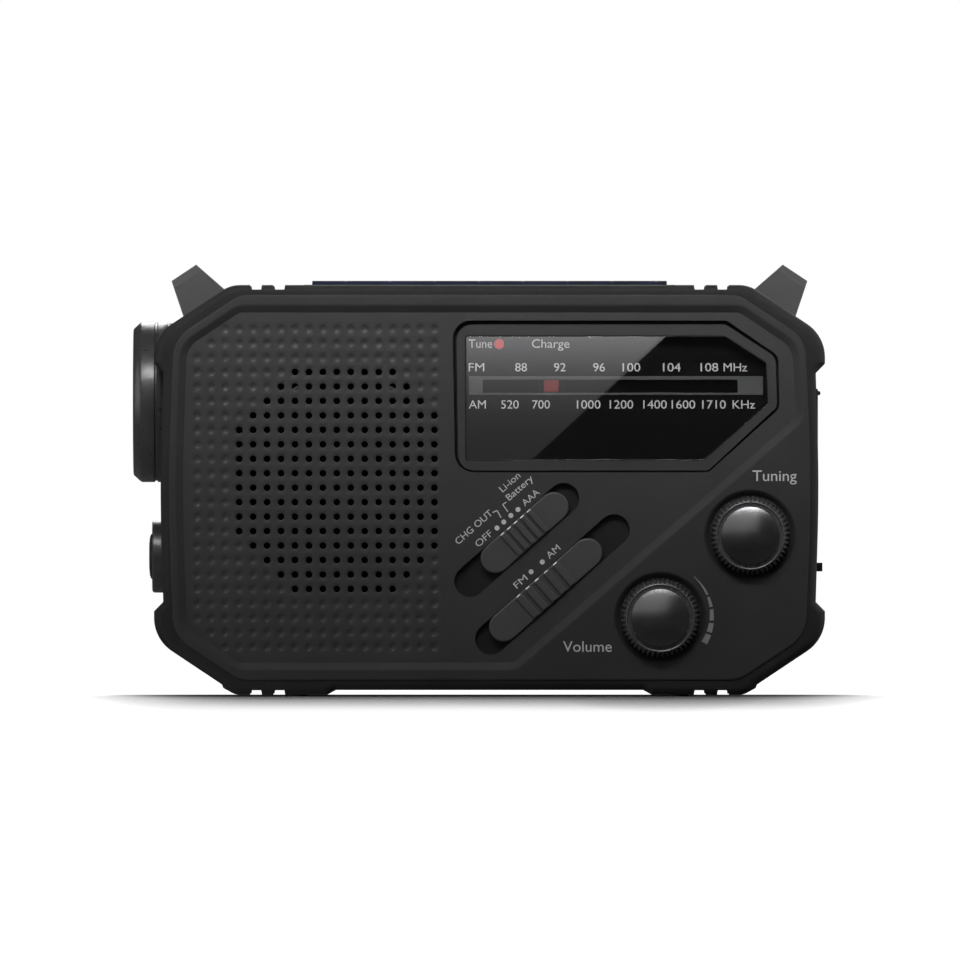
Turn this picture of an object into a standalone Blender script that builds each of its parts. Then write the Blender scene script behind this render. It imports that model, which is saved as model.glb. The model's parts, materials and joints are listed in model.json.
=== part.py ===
"""Emergency radio with torch, crank generator, solar panel, slide-rule dial and telescopic aerial.

Every dimension below is in millimetres and is turned into metres where a mesh is made.
Body coordinates: X to the right as seen from the front, Y from the front to the back, Z up from the
feet. place() moves them so that the origin is the middle of the whole radio's box, on the surface it
stands on.
"""

import math

import bmesh
import bpy
from mathutils import Matrix, Vector

MM = 0.001
GAP = 0.3  # clearance between neighbouring pieces

# Overall layout
MIDDLE_Z = 52.25  # height of the body's mirror plane
FRONT_Y = -30.0  # front plane of the cabinet frame
BACK_Y = 29.0  # back plane of the rear cabinet
FACE_Y = -28.8  # sunk front face inside the frame
SPLIT_Y = -20.6  # where the front cabinet meets the rear one
WALL = 2.2
BUMPER_FRONT_Y = -29.6
BUMPER_BACK_Y = 29.3
BUMPER_SLOPE = 1.6

# Torch, on the left side
TORCH_Z = 73.7
TORCH_RADIUS = 20.1
TORCH_FRONT_X = -89.3
TORCH_CHAMFER = 2.0
TORCH_NECK_RADIUS = 17.2
TORCH_LENS_RADIUS = 16.5

# Push button under the torch
BUTTON_Z = 34.95
BUTTON_BEZEL_RADIUS = 9.1
BUTTON_RADIUS = 5.85
BUTTON_BEZEL_X = -84.6
BUTTON_CAP_X = -85.4

# Right side
SIDE_TIP_X = 83.9  # how far the bumper corners reach
SIREN_Z = 32.3
SIREN_TIP_X = 83.5
PORT_COVER_LOW_Z = 50.0
PORT_COVER_HIGH_Z = 77.0
PORT_COVER_Y = (-17.0, 6.0)
PORT_COVER_THICK = 1.4
SOCKET_Y = -5.5
USB_OUT_Z = 70.5
USB_IN_Z = 62.5

# Aerial, folded down in a trough in the right side that is open at both ends
AERIAL_X = 76.9
AERIAL_Y = 15.3
AERIAL_PIVOT_Z = 83.0
AERIAL_TROUGH_Y = (11.6, 19.0)
AERIAL_TROUGH_X = 72.9
AERIAL_RADII = (2.6, 1.9, 1.2)

# Front face
GRILLE_X = -36.45
GRILLE_COLUMNS = 18
GRILLE_ROWS = 23
GRILLE_PITCH_X = 3.4875
GRILLE_PITCH_Z = 3.616
GRILLE_FIRST_X = -73.05
GRILLE_TOP_Z = 91.95
HOLE_RADIUS = 0.85
HOLE_SIDES = 6
SPEAKER_Z = 54.0

# Knobs
TUNING_X = 65.2
TUNING_Z = 40.2
VOLUME_X = 42.7
VOLUME_Z = 19.65
DISH_RADIUS = 11.3
DISH_FLOOR_RADIUS = 10.1
DISH_DEPTH = 1.5
KNURL_RADIUS = 9.3
KNURL_TEETH = 36
KNOB_FRONT_Y = -35.0
SHAFT_RADIUS = 3.0

# Slide switches, along one slanting line
SLIDE_ANGLE = math.radians(41.5)
SLIDER_WIDTH = 7.6
RECESS_WIDTH = 8.2
POWER_CENTRE = (6.8, 39.15)  # middle of the recess
POWER_RECESS = 31.1  # between the recess's end centres
POWER_SLIDER = 19.3
POWER_OFFSET = 2.7  # how far along the slanting line the slider stands from the recess's middle
BAND_CENTRE = (15.75, 28.0)
BAND_RECESS = 41.1
BAND_SLIDER = 27.8
BAND_OFFSET = -2.2
SLIDER_FRONT_Y = -29.5
RIB_PITCH = 0.111  # of the distance between a slider's end centres
RECESS_FLOOR_Y = -27.2

# Dial
LENS_Y = (-28.9, -27.5)
BEZEL_Y = (-29.2, -26.4)
DIAL_PLATE_Y = (-26.1, -25.1)
SLOT_X = (-1.7, 62.05)
SLOT_Z = 77.6
SLOT_HEIGHT = 3.3
POINTER_X = 15.45
POINTER_WIDTH = 3.7
LAMP_X = 2.4
LAMP_Z = 88.15
LAMP_RADIUS = 1.25

# Crank, in a round dish in the back
CRANK_X = 30.0
CRANK_Z = 54.0
CRANK_DISH_RADIUS = 35.0
CRANK_DISH_FLOOR_Y = 16.5
CRANK_REACH = 27.0  # from the crank's axis to the pin of its folding grip
GRIP_RADIUS = 4.4
GRIP_Y = 24.4

# Gear train: crank gear, idler pinion and idler wheel, generator pinion
FIRST_MODULE = 0.9
SECOND_MODULE = 0.7
CRANK_TEETH = 40
PINION_TEETH = 10
IDLER_TEETH = 36
FIRST_GEARS_Y = (9.6, 13.0)
SECOND_GEARS_Y = (5.2, 8.8)
IDLER_DIRECTION = math.radians(-30)
GENERATOR_DIRECTION = math.radians(-120)

# Batteries and their bay, in the back
BAY_X = (-60.0, -14.0)
BAY_Z = (22.0, 54.0)
TRAY_Y = (12.0, 26.4)
AAA_RADIUS = 5.1
AAA_LENGTH = 44.5

# Case screws, from the back into posts of the front cabinet: where they are and the web of each post
SCREWS = ((-65.0, 13.2), (65.0, 13.2), (-60.0, 90.0), (60.0, 90.0))
POST_WEB = {13.2: (7.2, 13.2), 90.0: (90.0, 99.0)}
POST_RADIUS = 3.0
POST_Y = (-24.4, 13.7)

# Top
PLATFORM_X = 46.4
PLATFORM_TOP_Z = 103.0
PANEL_X = 44.4
PANEL_Y = 18.0
PANEL_Z = (102.3, 104.0)

# The strap lugs stand square on the upper chamfers
LUG_X = 69.7
LUG_Z = 95.7
LUG_ANGLE = math.radians(33.7)
LUG_DEPTH = 21.0  # front to back

# The whole object's box, whose middle is the row's origin
BOX_X = (TORCH_FRONT_X, SIDE_TIP_X)
BOX_Y = (KNOB_FRONT_Y, BUMPER_BACK_Y)
ORIGIN = Vector(((BOX_X[0] + BOX_X[1]) / 2, (BOX_Y[0] + BOX_Y[1]) / 2, 0.0))


# ---------------------------------------------------------------- scene and helpers


def clear_scene():
    for obj in list(bpy.data.objects):
        bpy.data.objects.remove(obj)


def collection(name, helpers=False):
    made = bpy.data.collections.new(name)
    bpy.context.scene.collection.children.link(made)
    made.hide_render = helpers
    return made


def material(name, colour, roughness, metallic=0.0):
    made = bpy.data.materials.new(name)
    made.use_nodes = True
    shader = made.node_tree.nodes["Principled BSDF"]
    shader.inputs["Base Color"].default_value = (*colour, 1.0)
    shader.inputs["Roughness"].default_value = roughness
    shader.inputs["Metallic"].default_value = metallic
    made.diffuse_color = (*colour, 1.0)
    return made


def place(x, y, z):
    """Body millimetres to row metres."""
    return (Vector((x, y, z)) - ORIGIN) * MM


def keep(obj, name, paint, origin=None):
    """Names a piece, gives it its material and puts its origin at a point of the body."""
    if origin is not None:
        shift = place(*origin) - obj.matrix_world.translation
        turned = obj.matrix_world.to_3x3().inverted() @ shift
        obj.data.transform(Matrix.Translation(-turned))
        obj.location = place(*origin)
    obj.name = name
    obj.data.name = name
    obj.data.materials.clear()
    obj.data.materials.append(paint)
    move_to(obj, RADIO)
    bpy.context.view_layer.update()
    return obj


def helper(obj, name="cutter"):
    """A shape that only cuts or joins others."""
    obj.name = name
    obj.hide_render = True
    obj.display_type = "WIRE"
    move_to(obj, CUTTERS)
    return obj


def move_to(obj, target):
    for owner in list(obj.users_collection):
        owner.objects.unlink(obj)
    target.objects.link(obj)


def boolean(obj, other, operation):
    modifier = obj.modifiers.new(operation.lower(), "BOOLEAN")
    modifier.operation = operation
    modifier.solver = "EXACT"
    modifier.object = helper(other)
    return obj


def cut(obj, *others):
    for other in others:
        boolean(obj, other, "DIFFERENCE")
    return obj


def join(obj, *others):
    for other in others:
        boolean(obj, other, "UNION")
    return obj


def mesh_object(bm, name="shape"):
    bmesh.ops.recalc_face_normals(bm, faces=bm.faces)
    mesh = bpy.data.meshes.new(name)
    bm.to_mesh(mesh)
    bm.free()
    obj = bpy.data.objects.new(name, mesh)
    bpy.context.scene.collection.objects.link(obj)
    bpy.context.view_layer.update()
    return obj


def round_shade(obj, angle=35):
    obj.data.shade_smooth()
    obj.data.set_sharp_from_angle(angle=math.radians(angle))
    return obj


def box(x, y, z):
    """A block from its X, Y and Z spans."""
    bpy.ops.mesh.primitive_cube_add(size=1)
    obj = bpy.context.object
    low, high = place(x[0], y[0], z[0]), place(x[1], y[1], z[1])
    scale = Matrix.Diagonal((*(high - low), 1.0))
    obj.data.transform(scale)
    obj.location = (low + high) / 2
    bpy.context.view_layer.update()
    return obj


AXIS_TURN = {
    "X": Matrix.Rotation(math.pi / 2, 4, "Y"),
    "Y": Matrix.Rotation(-math.pi / 2, 4, "X"),
    "Z": Matrix.Identity(4),
}


def rod(axis, span, across, radius, sides=24):
    """A cylinder, or a cone, along an axis: its span on that axis and its place on the other two."""
    low, high = span
    if axis == "X":
        centre = ((low + high) / 2, across[0], across[1])
    elif axis == "Y":
        centre = (across[0], (low + high) / 2, across[1])
    else:
        centre = (across[0], across[1], (low + high) / 2)
    bpy.ops.mesh.primitive_cone_add(
        vertices=sides,
        radius1=radius * MM,
        radius2=radius * MM,
        depth=(high - low) * MM,
    )
    obj = bpy.context.object
    obj.data.transform(AXIS_TURN[axis])
    obj.location = place(*centre)
    bpy.context.view_layer.update()
    return round_shade(obj)


def turned(axis, across, profile, steps=32):
    """A Screw of a closed profile of (radius, place on the axis) points about an axis."""
    bm = bmesh.new()
    points = [bm.verts.new((radius * MM, 0.0, along * MM)) for radius, along in profile]
    for one, other in zip(points, points[1:]):
        bm.edges.new((one, other))
    mesh = bpy.data.meshes.new("profile")
    bm.to_mesh(mesh)
    bm.free()
    obj = bpy.data.objects.new("profile", mesh)
    bpy.context.scene.collection.objects.link(obj)
    screw = obj.modifiers.new("turn", "SCREW")
    screw.steps = steps
    screw.render_steps = steps
    screw.use_merge_vertices = True
    screw.merge_threshold = 0.00001
    screw.use_smooth_shade = False
    bpy.context.view_layer.update()
    graph = bpy.context.evaluated_depsgraph_get()
    made = bpy.data.meshes.new_from_object(obj.evaluated_get(graph))
    bpy.data.objects.remove(obj)
    bm = bmesh.new()
    bm.from_mesh(made)
    bmesh.ops.remove_doubles(bm, verts=bm.verts, dist=0.000005)
    solid = mesh_object(bm)
    solid.data.transform(AXIS_TURN[axis])
    origin = (
        (0.0, across[0], across[1]) if axis == "X" else (across[0], 0.0, across[1])
    )
    solid.location = place(*origin)
    bpy.context.view_layer.update()
    return round_shade(solid)


def rounded(corners, steps=5):
    """A closed outline through corners (x, z, radius), each rounded by an arc."""
    points = []
    for index, (x, z, radius) in enumerate(corners):
        here = Vector((x, z))
        before = (Vector(corners[index - 1][:2]) - here).normalized()
        after = (Vector(corners[(index + 1) % len(corners)][:2]) - here).normalized()
        half = before.angle(after) / 2
        if radius <= 0 or half > math.radians(89.9):
            points.append((x, z))
            continue
        centre = here + (before + after).normalized() * (radius / math.sin(half))
        reach = radius / math.tan(half)
        start = here + before * reach - centre
        turn = start.angle_signed(here + after * reach - centre)
        for step in range(steps + 1):
            angle = -turn * step / steps
            spoke = Matrix.Rotation(angle, 2) @ start
            points.append(tuple(centre + spoke))
    return points


def grown(corners, distance):
    """The corners of an outline moved outwards by a distance, or inwards if it is negative."""
    count = len(corners)
    edges = []
    for index in range(count):
        start, end = Vector(corners[index][:2]), Vector(corners[(index + 1) % count][:2])
        along = (end - start).normalized()
        out = Vector((along.y, -along.x))
        edges.append((start + out * distance, along))
    result = []
    for index in range(count):
        start, along = edges[index - 1]
        other, other_along = edges[index]
        cross = along.cross(other_along)
        share = (other - start).cross(other_along) / cross
        corner = start + along * share
        radius = corners[index][2]
        if radius > 0:
            radius = max(0.1, radius + (distance if cross > 0 else -distance))
        result.append((corner.x, corner.y, radius))
    return result


def mirrored_four_ways(quarter, side_middle):
    """A full outline from its upper right quarter, with the middle of its bowed side."""
    top = 2 * MIDDLE_Z
    left = [(-x, z, r) for x, z, r in reversed(quarter)]
    low_left = [(-x, top - z, r) for x, z, r in quarter]
    low_right = [(x, top - z, r) for x, z, r in reversed(quarter)]
    bow = (side_middle, MIDDLE_Z, SIDE_BOW_RADIUS)
    left_bow = (-side_middle, MIDDLE_Z, SIDE_BOW_RADIUS)
    return [bow, *quarter, *left, left_bow, *low_left, *low_right]


def loft(rings):
    """A solid through outlines of the same number of points, each at its Y."""
    bm = bmesh.new()
    rows = [
        [bm.verts.new(place(x, y, z) - place(0, 0, 0)) for x, z in outline]
        for outline, y in rings
    ]
    count = len(rows[0])
    for row, following in zip(rows, rows[1:]):
        for i in range(count):
            j = (i + 1) % count
            bm.faces.new((row[i], row[j], following[j], following[i]))
    bm.faces.new(rows[0])
    bm.faces.new(rows[-1])
    obj = mesh_object(bm)
    obj.location = place(0, 0, 0)
    bpy.context.view_layer.update()
    return obj


def plate(outlines, y):
    """A flat plate between two Y planes: a filled 2D curve, whose further outlines are holes."""
    curve = bpy.data.curves.new("outline", "CURVE")
    curve.dimensions = "2D"
    curve.fill_mode = "BOTH"
    curve.extrude = (y[1] - y[0]) / 2 * MM
    for outline in outlines:
        spline = curve.splines.new("POLY")
        spline.points.add(len(outline) - 1)
        spline.use_cyclic_u = True
        for point, (x, z) in zip(spline.points, outline):
            point.co = (x * MM, z * MM, 0.0, 1.0)
    flat = bpy.data.objects.new("outline", curve)
    bpy.context.scene.collection.objects.link(flat)
    bpy.context.view_layer.update()
    graph = bpy.context.evaluated_depsgraph_get()
    mesh = bpy.data.meshes.new_from_object(flat.evaluated_get(graph))
    bpy.data.objects.remove(flat)
    bm = bmesh.new()
    bm.from_mesh(mesh)
    bmesh.ops.remove_doubles(bm, verts=bm.verts, dist=0.000002)
    obj = mesh_object(bm)
    obj.data.transform(Matrix.Rotation(math.pi / 2, 4, "X"))
    obj.location = place(0, (y[0] + y[1]) / 2, 0)
    bpy.context.view_layer.update()
    return obj


def rectangle(x, z, radius=0.0):
    corners = [
        (x[0], z[0], radius),
        (x[1], z[0], radius),
        (x[1], z[1], radius),
        (x[0], z[1], radius),
    ]
    return rounded(corners, 4) if radius else [(a, b) for a, b, _ in corners]


def stadium(centre, between, width, angle, steps=8):
    """A slot's outline: two half circles whose centres are so far apart along an angle."""
    along = Vector((math.cos(angle), math.sin(angle)))
    points = []
    for end in (1, -1):
        middle = Vector(centre) + along * (between / 2 * end)
        start = angle - math.pi / 2 if end == 1 else angle + math.pi / 2
        for step in range(steps + 1):
            a = start + math.pi * step / steps
            points.append(
                (
                    middle.x + width / 2 * math.cos(a),
                    middle.y + width / 2 * math.sin(a),
                )
            )
    return points


def along_slide(centre, distance):
    """A point so far along the slanting line of the switches."""
    return (
        centre[0] + distance * math.cos(SLIDE_ANGLE),
        centre[1] + distance * math.sin(SLIDE_ANGLE),
    )


def slanted_box(centre, half_length, half_width, y):
    """A block in line with the slide switches."""
    along = Vector((math.cos(SLIDE_ANGLE), math.sin(SLIDE_ANGLE)))
    across = Vector((-along.y, along.x))
    middle = Vector(centre)
    outline = [
        tuple(middle + along * (a * half_length) + across * (b * half_width))
        for a, b in ((-1, -1), (1, -1), (1, 1), (-1, 1))
    ]
    return plate([outline], y)


# ---------------------------------------------------------------- outlines

SIDE_BOW_RADIUS = 440.0

# Cabinet: the edge between its flat frame and the rubber bumpers
CABINET = mirrored_four_ways([(79.1, 89.5, 9.0), (62.4, 100.5, 7.0)], 80.5)

# Bumpers: thicker at the corners, with feet under the lower ones
BUMPER_UPPER = [
    (81.6, 80.85, 0.0),
    (83.9, 83.2, 0.3),
    (83.9, 90.2, 10.0),
    (64.8, 102.9, 8.0),
]
BUMPER_LOWER = [
    (38.4, 1.6, 0.3),
    (40.6, 0.4, 0.3),
    (63.5, 0.4, 4.5),
    (66.6, 2.1, 0.0),
    (66.9, 2.95, 0.0),
    (83.9, 14.3, 10.0),
    (83.9, 21.3, 0.3),
    (81.6, 23.65, 0.0),
]
BUMPER = [
    (82.45, MIDDLE_Z, SIDE_BOW_RADIUS),
    *BUMPER_UPPER,
    *[(-x, z, r) for x, z, r in reversed(BUMPER_UPPER)],
    (-82.45, MIDDLE_Z, SIDE_BOW_RADIUS),
    *[(-x, z, r) for x, z, r in reversed(BUMPER_LOWER)],
    *BUMPER_LOWER,
]

# Face: the sunk area inside the frame, cut off by the slanting edge above the knobs
FACE = [
    (76.7, 69.8, 4.0),
    (75.7, 87.2, 6.0),
    (62.5, 96.0, 3.0),
    (-62.5, 96.0, 3.0),
    (-75.7, 87.2, 6.0),
    (-76.9, MIDDLE_Z, SIDE_BOW_RADIUS),
    (-75.7, 17.3, 6.0),
    (-62.5, 8.5, 3.0),
    (6.0, 8.5, 3.0),
]
FRAME_SLOPE = 1.75

# Dial bezel and the lens inside it
BEZEL = [
    (72.5, 72.0, 2.5),
    (72.2, 85.2, 3.0),
    (59.3, 94.0, 1.5),
    (-9.3, 94.0, 4.5),
    (-8.6, 56.2, 4.5),
    (54.9, 56.2, 1.0),
]
LENS = [
    (69.8, 73.2, 0.3),
    (69.2, 83.5, 0.3),
    (58.8, 90.2, 0.3),
    (-6.0, 90.2, 0.6),
    (-6.0, 59.0, 0.6),
    (53.7, 59.0, 0.3),
]


# ---------------------------------------------------------------- cabinet


def notch_cutters(y):
    """Two grooves near each end of a bumper's upper and lower edges."""
    made = []
    for side in (-1, 1):
        for middle in (52.6, 58.4):
            for edge, deep in ((102.9, -1.15), (0.4, 1.15)):
                corners = [
                    (side * middle - 1.3, edge + deep),
                    (side * middle + 1.3, edge + deep),
                    (side * middle + 1.7, edge - deep),
                    (side * middle - 1.7, edge - deep),
                ]
                made.append(plate([corners], (y[0] - 1, y[1] + 1)))
    return made


def bumper(name, outer_y, inner_y):
    """A rubber ring round the cabinet, sloping to its outer plane."""
    slope = BUMPER_SLOPE if outer_y < inner_y else -BUMPER_SLOPE
    rings = [
        (rounded(grown(BUMPER, -1.3)), outer_y),
        (rounded(BUMPER), outer_y + slope),
        (rounded(BUMPER), inner_y),
    ]
    ring = loft(rings)
    low, high = min(outer_y, inner_y), max(outer_y, inner_y)
    cut(ring, loft([(rounded(grown(CABINET, GAP)), low - 1), (rounded(grown(CABINET, GAP)), high + 1)]))
    cut(ring, *notch_cutters((low, high)))
    return keep(ring, name, RUBBER)


def front_cabinet():
    """The frame round the sunk face, with the knob dishes."""
    shell = loft([(rounded(CABINET), FRONT_Y), (rounded(CABINET), SPLIT_Y - GAP)])
    inside = rounded(grown(CABINET, -WALL))
    cavity = loft([(inside, FRONT_Y + 2.0), (inside, SPLIT_Y + 1)])
    for x, z in ((TUNING_X, TUNING_Z), (VOLUME_X, VOLUME_Z)):
        cut(cavity, rod("Y", (FRONT_Y + 1, FRONT_Y + DISH_DEPTH + 1.6), (x, z), DISH_RADIUS + 1.2, 32))
    cut(shell, cavity)
    wide = rounded(grown(FACE, FRAME_SLOPE * 2))
    above = FRONT_Y - (FACE_Y - FRONT_Y)
    cut(shell, loft([(wide, above), (rounded(FACE), FACE_Y), (rounded(FACE), FACE_Y + 2)]))
    for x, z in ((TUNING_X, TUNING_Z), (VOLUME_X, VOLUME_Z)):
        dish = [
            (0.0, FRONT_Y + DISH_DEPTH),
            (DISH_FLOOR_RADIUS, FRONT_Y + DISH_DEPTH),
            (2 * DISH_RADIUS - DISH_FLOOR_RADIUS, FRONT_Y - DISH_DEPTH),
            (0.0, FRONT_Y - DISH_DEPTH),
        ]
        cut(shell, turned("Y", (x, z), dish, 32))
        cut(shell, rod("Y", (FRONT_Y, FRONT_Y + 6), (x, z), SHAFT_RADIUS + 0.6, 16))
    for x, z in SCREWS:
        join(shell, box((x - 2, x + 2), (POST_Y[0] + 0.6, -21.2), POST_WEB[z]))
        join(shell, rod("Y", POST_Y, (x, z), POST_RADIUS, 16))
        cut(shell, rod("Y", (5.0, 15.0), (x, z), 1.6, 12))
    return keep(shell, "front_cabinet", SATIN)


def grille_holes():
    """The open holes of the grille, one cutter of many bodies."""
    bm = bmesh.new()
    for row in range(4, 20):
        away = abs(row - 11.5) - 0.5
        first = 4 + max(0, round(away) - 3)
        last = min(GRILLE_COLUMNS, 19 - max(0, round(away) - 3))
        for column in range(first, last + 1):
            x = GRILLE_FIRST_X + (column - 1) * GRILLE_PITCH_X
            z = GRILLE_TOP_Z - (row - 1) * GRILLE_PITCH_Z
            centre = place(x, FACE_Y + 1.2, z)
            turn = Matrix.Rotation(math.pi / 2, 4, "X")
            bmesh.ops.create_cone(
                bm,
                cap_ends=True,
                segments=HOLE_SIDES,
                radius1=HOLE_RADIUS * MM,
                radius2=HOLE_RADIUS * MM,
                depth=5 * MM,
                matrix=Matrix.Translation(centre) @ turn,
            )
    return mesh_object(bm)


def front_panel():
    """The sunk face: grille, dial opening and switch recesses, with a flange behind the frame."""
    inner = rounded(grown(FACE, -GAP))
    flange = rounded(grown(FACE, 0.9))
    panel = loft([(inner, FACE_Y), (inner, FRONT_Y + 2.3), (flange, FRONT_Y + 2.3), (flange, FACE_Y + 2.4)])
    for centre, recess in ((POWER_CENTRE, POWER_RECESS), (BAND_CENTRE, BAND_RECESS)):
        bed = stadium(centre, recess, RECESS_WIDTH + 2.4, SLIDE_ANGLE)
        join(panel, plate([bed], (FACE_Y + 1.8, RECESS_FLOOR_Y + 1.3)))
    recess_y = (FACE_Y - 1, RECESS_FLOOR_Y)
    for centre, recess in ((POWER_CENTRE, POWER_RECESS), (BAND_CENTRE, BAND_RECESS)):
        cut(panel, plate([stadium(centre, recess, RECESS_WIDTH, SLIDE_ANGLE)], recess_y))
    cut(panel, slanted_box(POWER_CENTRE, 8.0, 1.3, (FACE_Y - 1, FACE_Y + 6)))
    cut(panel, slanted_box(BAND_CENTRE, 8.0, 1.3, (FACE_Y - 1, FACE_Y + 6)))
    cut(panel, plate([rounded(grown(BEZEL, GAP))], (FACE_Y - 1, FACE_Y + 4)))
    cut(panel, grille_holes())
    return keep(panel, "front_panel", SATIN)


def rear_cabinet():
    """The deep rear shell, with its crank dish, aerial trough, battery opening and screw bosses."""
    outside = rounded(CABINET)
    shell = loft([(outside, SPLIT_Y), (outside, BACK_Y)])
    inside = rounded(grown(CABINET, -WALL))
    cavity = loft([(inside, SPLIT_Y - 1), (inside, BACK_Y - WALL)])
    cut(cavity, rod("Y", (CRANK_DISH_FLOOR_Y - 2, BACK_Y), (CRANK_X, CRANK_Z), CRANK_DISH_RADIUS + 1.8, 48))
    cut(cavity, box((AERIAL_TROUGH_X - 1.8, 90), (AERIAL_TROUGH_Y[0] - 1.8, BACK_Y), (-5, 110)))
    for x, z in SCREWS:
        cut(cavity, rod("Y", (14, BACK_Y), (x, z), 4.0, 16))
    cut(shell, cavity)
    join(shell, rod("X", (-80.3, -76.2), (0, TORCH_Z), TORCH_RADIUS - 0.3, 40))
    join(shell, box((-PLATFORM_X, PLATFORM_X), (-19.5, 19.5), (99.0, PLATFORM_TOP_Z)))
    panel_x = (-PANEL_X - GAP, PANEL_X + GAP)
    panel_y = (-PANEL_Y - GAP, PANEL_Y + GAP)
    cut(shell, box(panel_x, panel_y, (PANEL_Z[0] - GAP, 110)))
    cut(shell, rod("X", (-90, -60), (0, TORCH_Z), TORCH_NECK_RADIUS + GAP, 40))
    cut(shell, rod("X", (-90, -70), (0, BUTTON_Z), 7.8, 24))
    cut(shell, rod("Y", (CRANK_DISH_FLOOR_Y, BACK_Y + 1), (CRANK_X, CRANK_Z), CRANK_DISH_RADIUS, 48))
    cut(shell, rod("Y", (CRANK_DISH_FLOOR_Y - 4, BACK_Y), (CRANK_X, CRANK_Z), 2.9, 16))
    cut(shell, box((AERIAL_TROUGH_X, 95), AERIAL_TROUGH_Y, (-5, 120)))
    cut(shell, box(BAY_X, (20, 40), BAY_Z))
    for x, z in SCREWS:
        cut(shell, rod("Y", (26.2, 40), (x, z), 3.5, 16), rod("Y", (10, 40), (x, z), 1.6, 12))
    socket_y = (SOCKET_Y - 7.0, SOCKET_Y + 7.0)
    cut(shell, box((70, 90), socket_y, (USB_OUT_Z - 3.2, USB_OUT_Z + 3.2)))
    cut(shell, box((70, 90), (SOCKET_Y - 5, SOCKET_Y + 5), (USB_IN_Z - 2.1, USB_IN_Z + 2.1)))
    cut(shell, box((70, 90), (-5.3, 2.3), (SIREN_Z - 1.4, SIREN_Z + 1.4)))
    return keep(shell, "rear_cabinet", SATIN)


def case_screw(number, x, z):
    """A pan head screw in its counterbore, with a cross slot."""
    profile = [
        (0.0, 28.4),
        (2.2, 28.4),
        (3.1, 27.6),
        (3.1, 26.5),
        (1.3, 26.5),
        (1.3, 8.0),
        (0.0, 7.0),
    ]
    screw = turned("Y", (x, z), profile, 16)
    cut(screw, box((x - 1.6, x + 1.6), (27.4, 30), (z - 0.35, z + 0.35)))
    cut(screw, box((x - 0.35, x + 0.35), (27.4, 30), (z - 1.6, z + 1.6)))
    return keep(screw, f"case_screw_{number}", STEEL)


def foot(name, x, y):
    """A rubber pad under a lower bumper corner."""
    pad = rod("Z", (0.0, 2.2), (x, y), 2.0, 20)
    return keep(pad, name, RUBBER)


def foot_pockets(ring, x, y):
    """The bumper is hollowed for its feet."""
    return cut(ring, rod("Z", (-1, 2.5), (x, y), 2.0 + GAP, 20))


def strap_lug(name, side):
    """A bridge on the upper chamfer, wide at its root, with a slot for a strap."""
    half = LUG_DEPTH / 2
    root, tip, top, bevel = 6.9, 3.7, 11.8, 1.9
    inset = tip + (root - tip) * bevel / top
    front = [(-root, 0.0), (root, 0.0), (inset, top - bevel), (-inset, top - bevel)]
    body = lug_loft(
        [
            ([(-root, 0.0), (root, 0.0), (tip, top), (-tip, top)], -half + 1.3),
            ([(-root, 0.0), (root, 0.0), (tip, top), (-tip, top)], half - 1.3),
        ],
        side,
    )
    whole = [(-root, 0.0), (root, 0.0), (tip, top), (-tip, top)]
    face = lug_loft([(front, -half), (whole, -half + 1.4)], side)
    back = lug_loft([(whole, half - 1.4), (front, half)], side)
    join(body, face, back)
    slot = [(-20, 2.6), (20, 2.6), (20, 5.9), (-20, 5.9)]
    cut(body, lug_loft([(slot, -half + 2.6), (slot, half - 2.6)], side))
    return keep(body, name, SATIN)


def lug_loft(rings, side):
    """A loft in a lug's own frame: along the chamfer, and square out from it."""
    along = Vector((math.cos(LUG_ANGLE) * side, -math.sin(LUG_ANGLE)))
    out = Vector((math.sin(LUG_ANGLE) * side, math.cos(LUG_ANGLE)))
    root = Vector((LUG_X * side, LUG_Z)) + out * (GAP + 0.35)
    moved = []
    for outline, y in rings:
        points = [root + along * a + out * b for a, b in outline]
        moved.append(([tuple(p) for p in points], y))
    return loft(moved)


# ---------------------------------------------------------------- dial


def dial():
    """Bezel, lens, scale plate, pointer and indicator lamp."""
    ring = plate([rounded(BEZEL)], BEZEL_Y)
    seat = rounded(LENS)
    ledge = rounded(grown(LENS, -1.2))
    cut(ring, loft([(seat, BEZEL_Y[0] - 1), (seat, -27.2), (ledge, -27.2), (ledge, -25)]))
    keep(ring, "dial_bezel", SATIN)
    keep(plate([rounded(grown(LENS, -0.2))], LENS_Y), "dial_lens", GLASS)
    scale = plate([rounded(grown(BEZEL, 0.2), 3)], DIAL_PLATE_Y)
    slot = (SLOT_Z - SLOT_HEIGHT / 2, SLOT_Z + SLOT_HEIGHT / 2)
    cut(scale, box(SLOT_X, (-28, -20), slot))
    cut(scale, rod("Y", (-28, -20), (LAMP_X, LAMP_Z), LAMP_RADIUS + 0.2, 16))
    keep(scale, "dial_plate", BLACK)
    pointer_z = (SLOT_Z - 1.5, SLOT_Z + 1.5)
    pointer_x = (POINTER_X - POINTER_WIDTH / 2, POINTER_X + POINTER_WIDTH / 2)
    pointer = box(pointer_x, (-26.3, -22.9), pointer_z)
    join(pointer, box((POINTER_X - 3.5, POINTER_X + 3.5), (-24.8, -22.6), (SLOT_Z - 3.5, SLOT_Z + 3.5)))
    keep(pointer, "dial_pointer", RED, (POINTER_X, -24.0, SLOT_Z))
    lamp = rod("Y", (-26.3, -22.0), (LAMP_X, LAMP_Z), LAMP_RADIUS, 16)
    keep(lamp, "tune_lamp", RED)


# ---------------------------------------------------------------- knobs


def knurl_outline(x, z):
    """A scalloped ring: each tooth is flat, with a groove to its side."""
    points = []
    for tooth in range(KNURL_TEETH):
        for share, radius in ((-0.28, KNURL_RADIUS), (0.28, KNURL_RADIUS), (0.5, KNURL_RADIUS - 0.65)):
            angle = 2 * math.pi * (tooth + share) / KNURL_TEETH
            points.append((x + radius * math.cos(angle), z + radius * math.sin(angle)))
    return points


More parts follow.
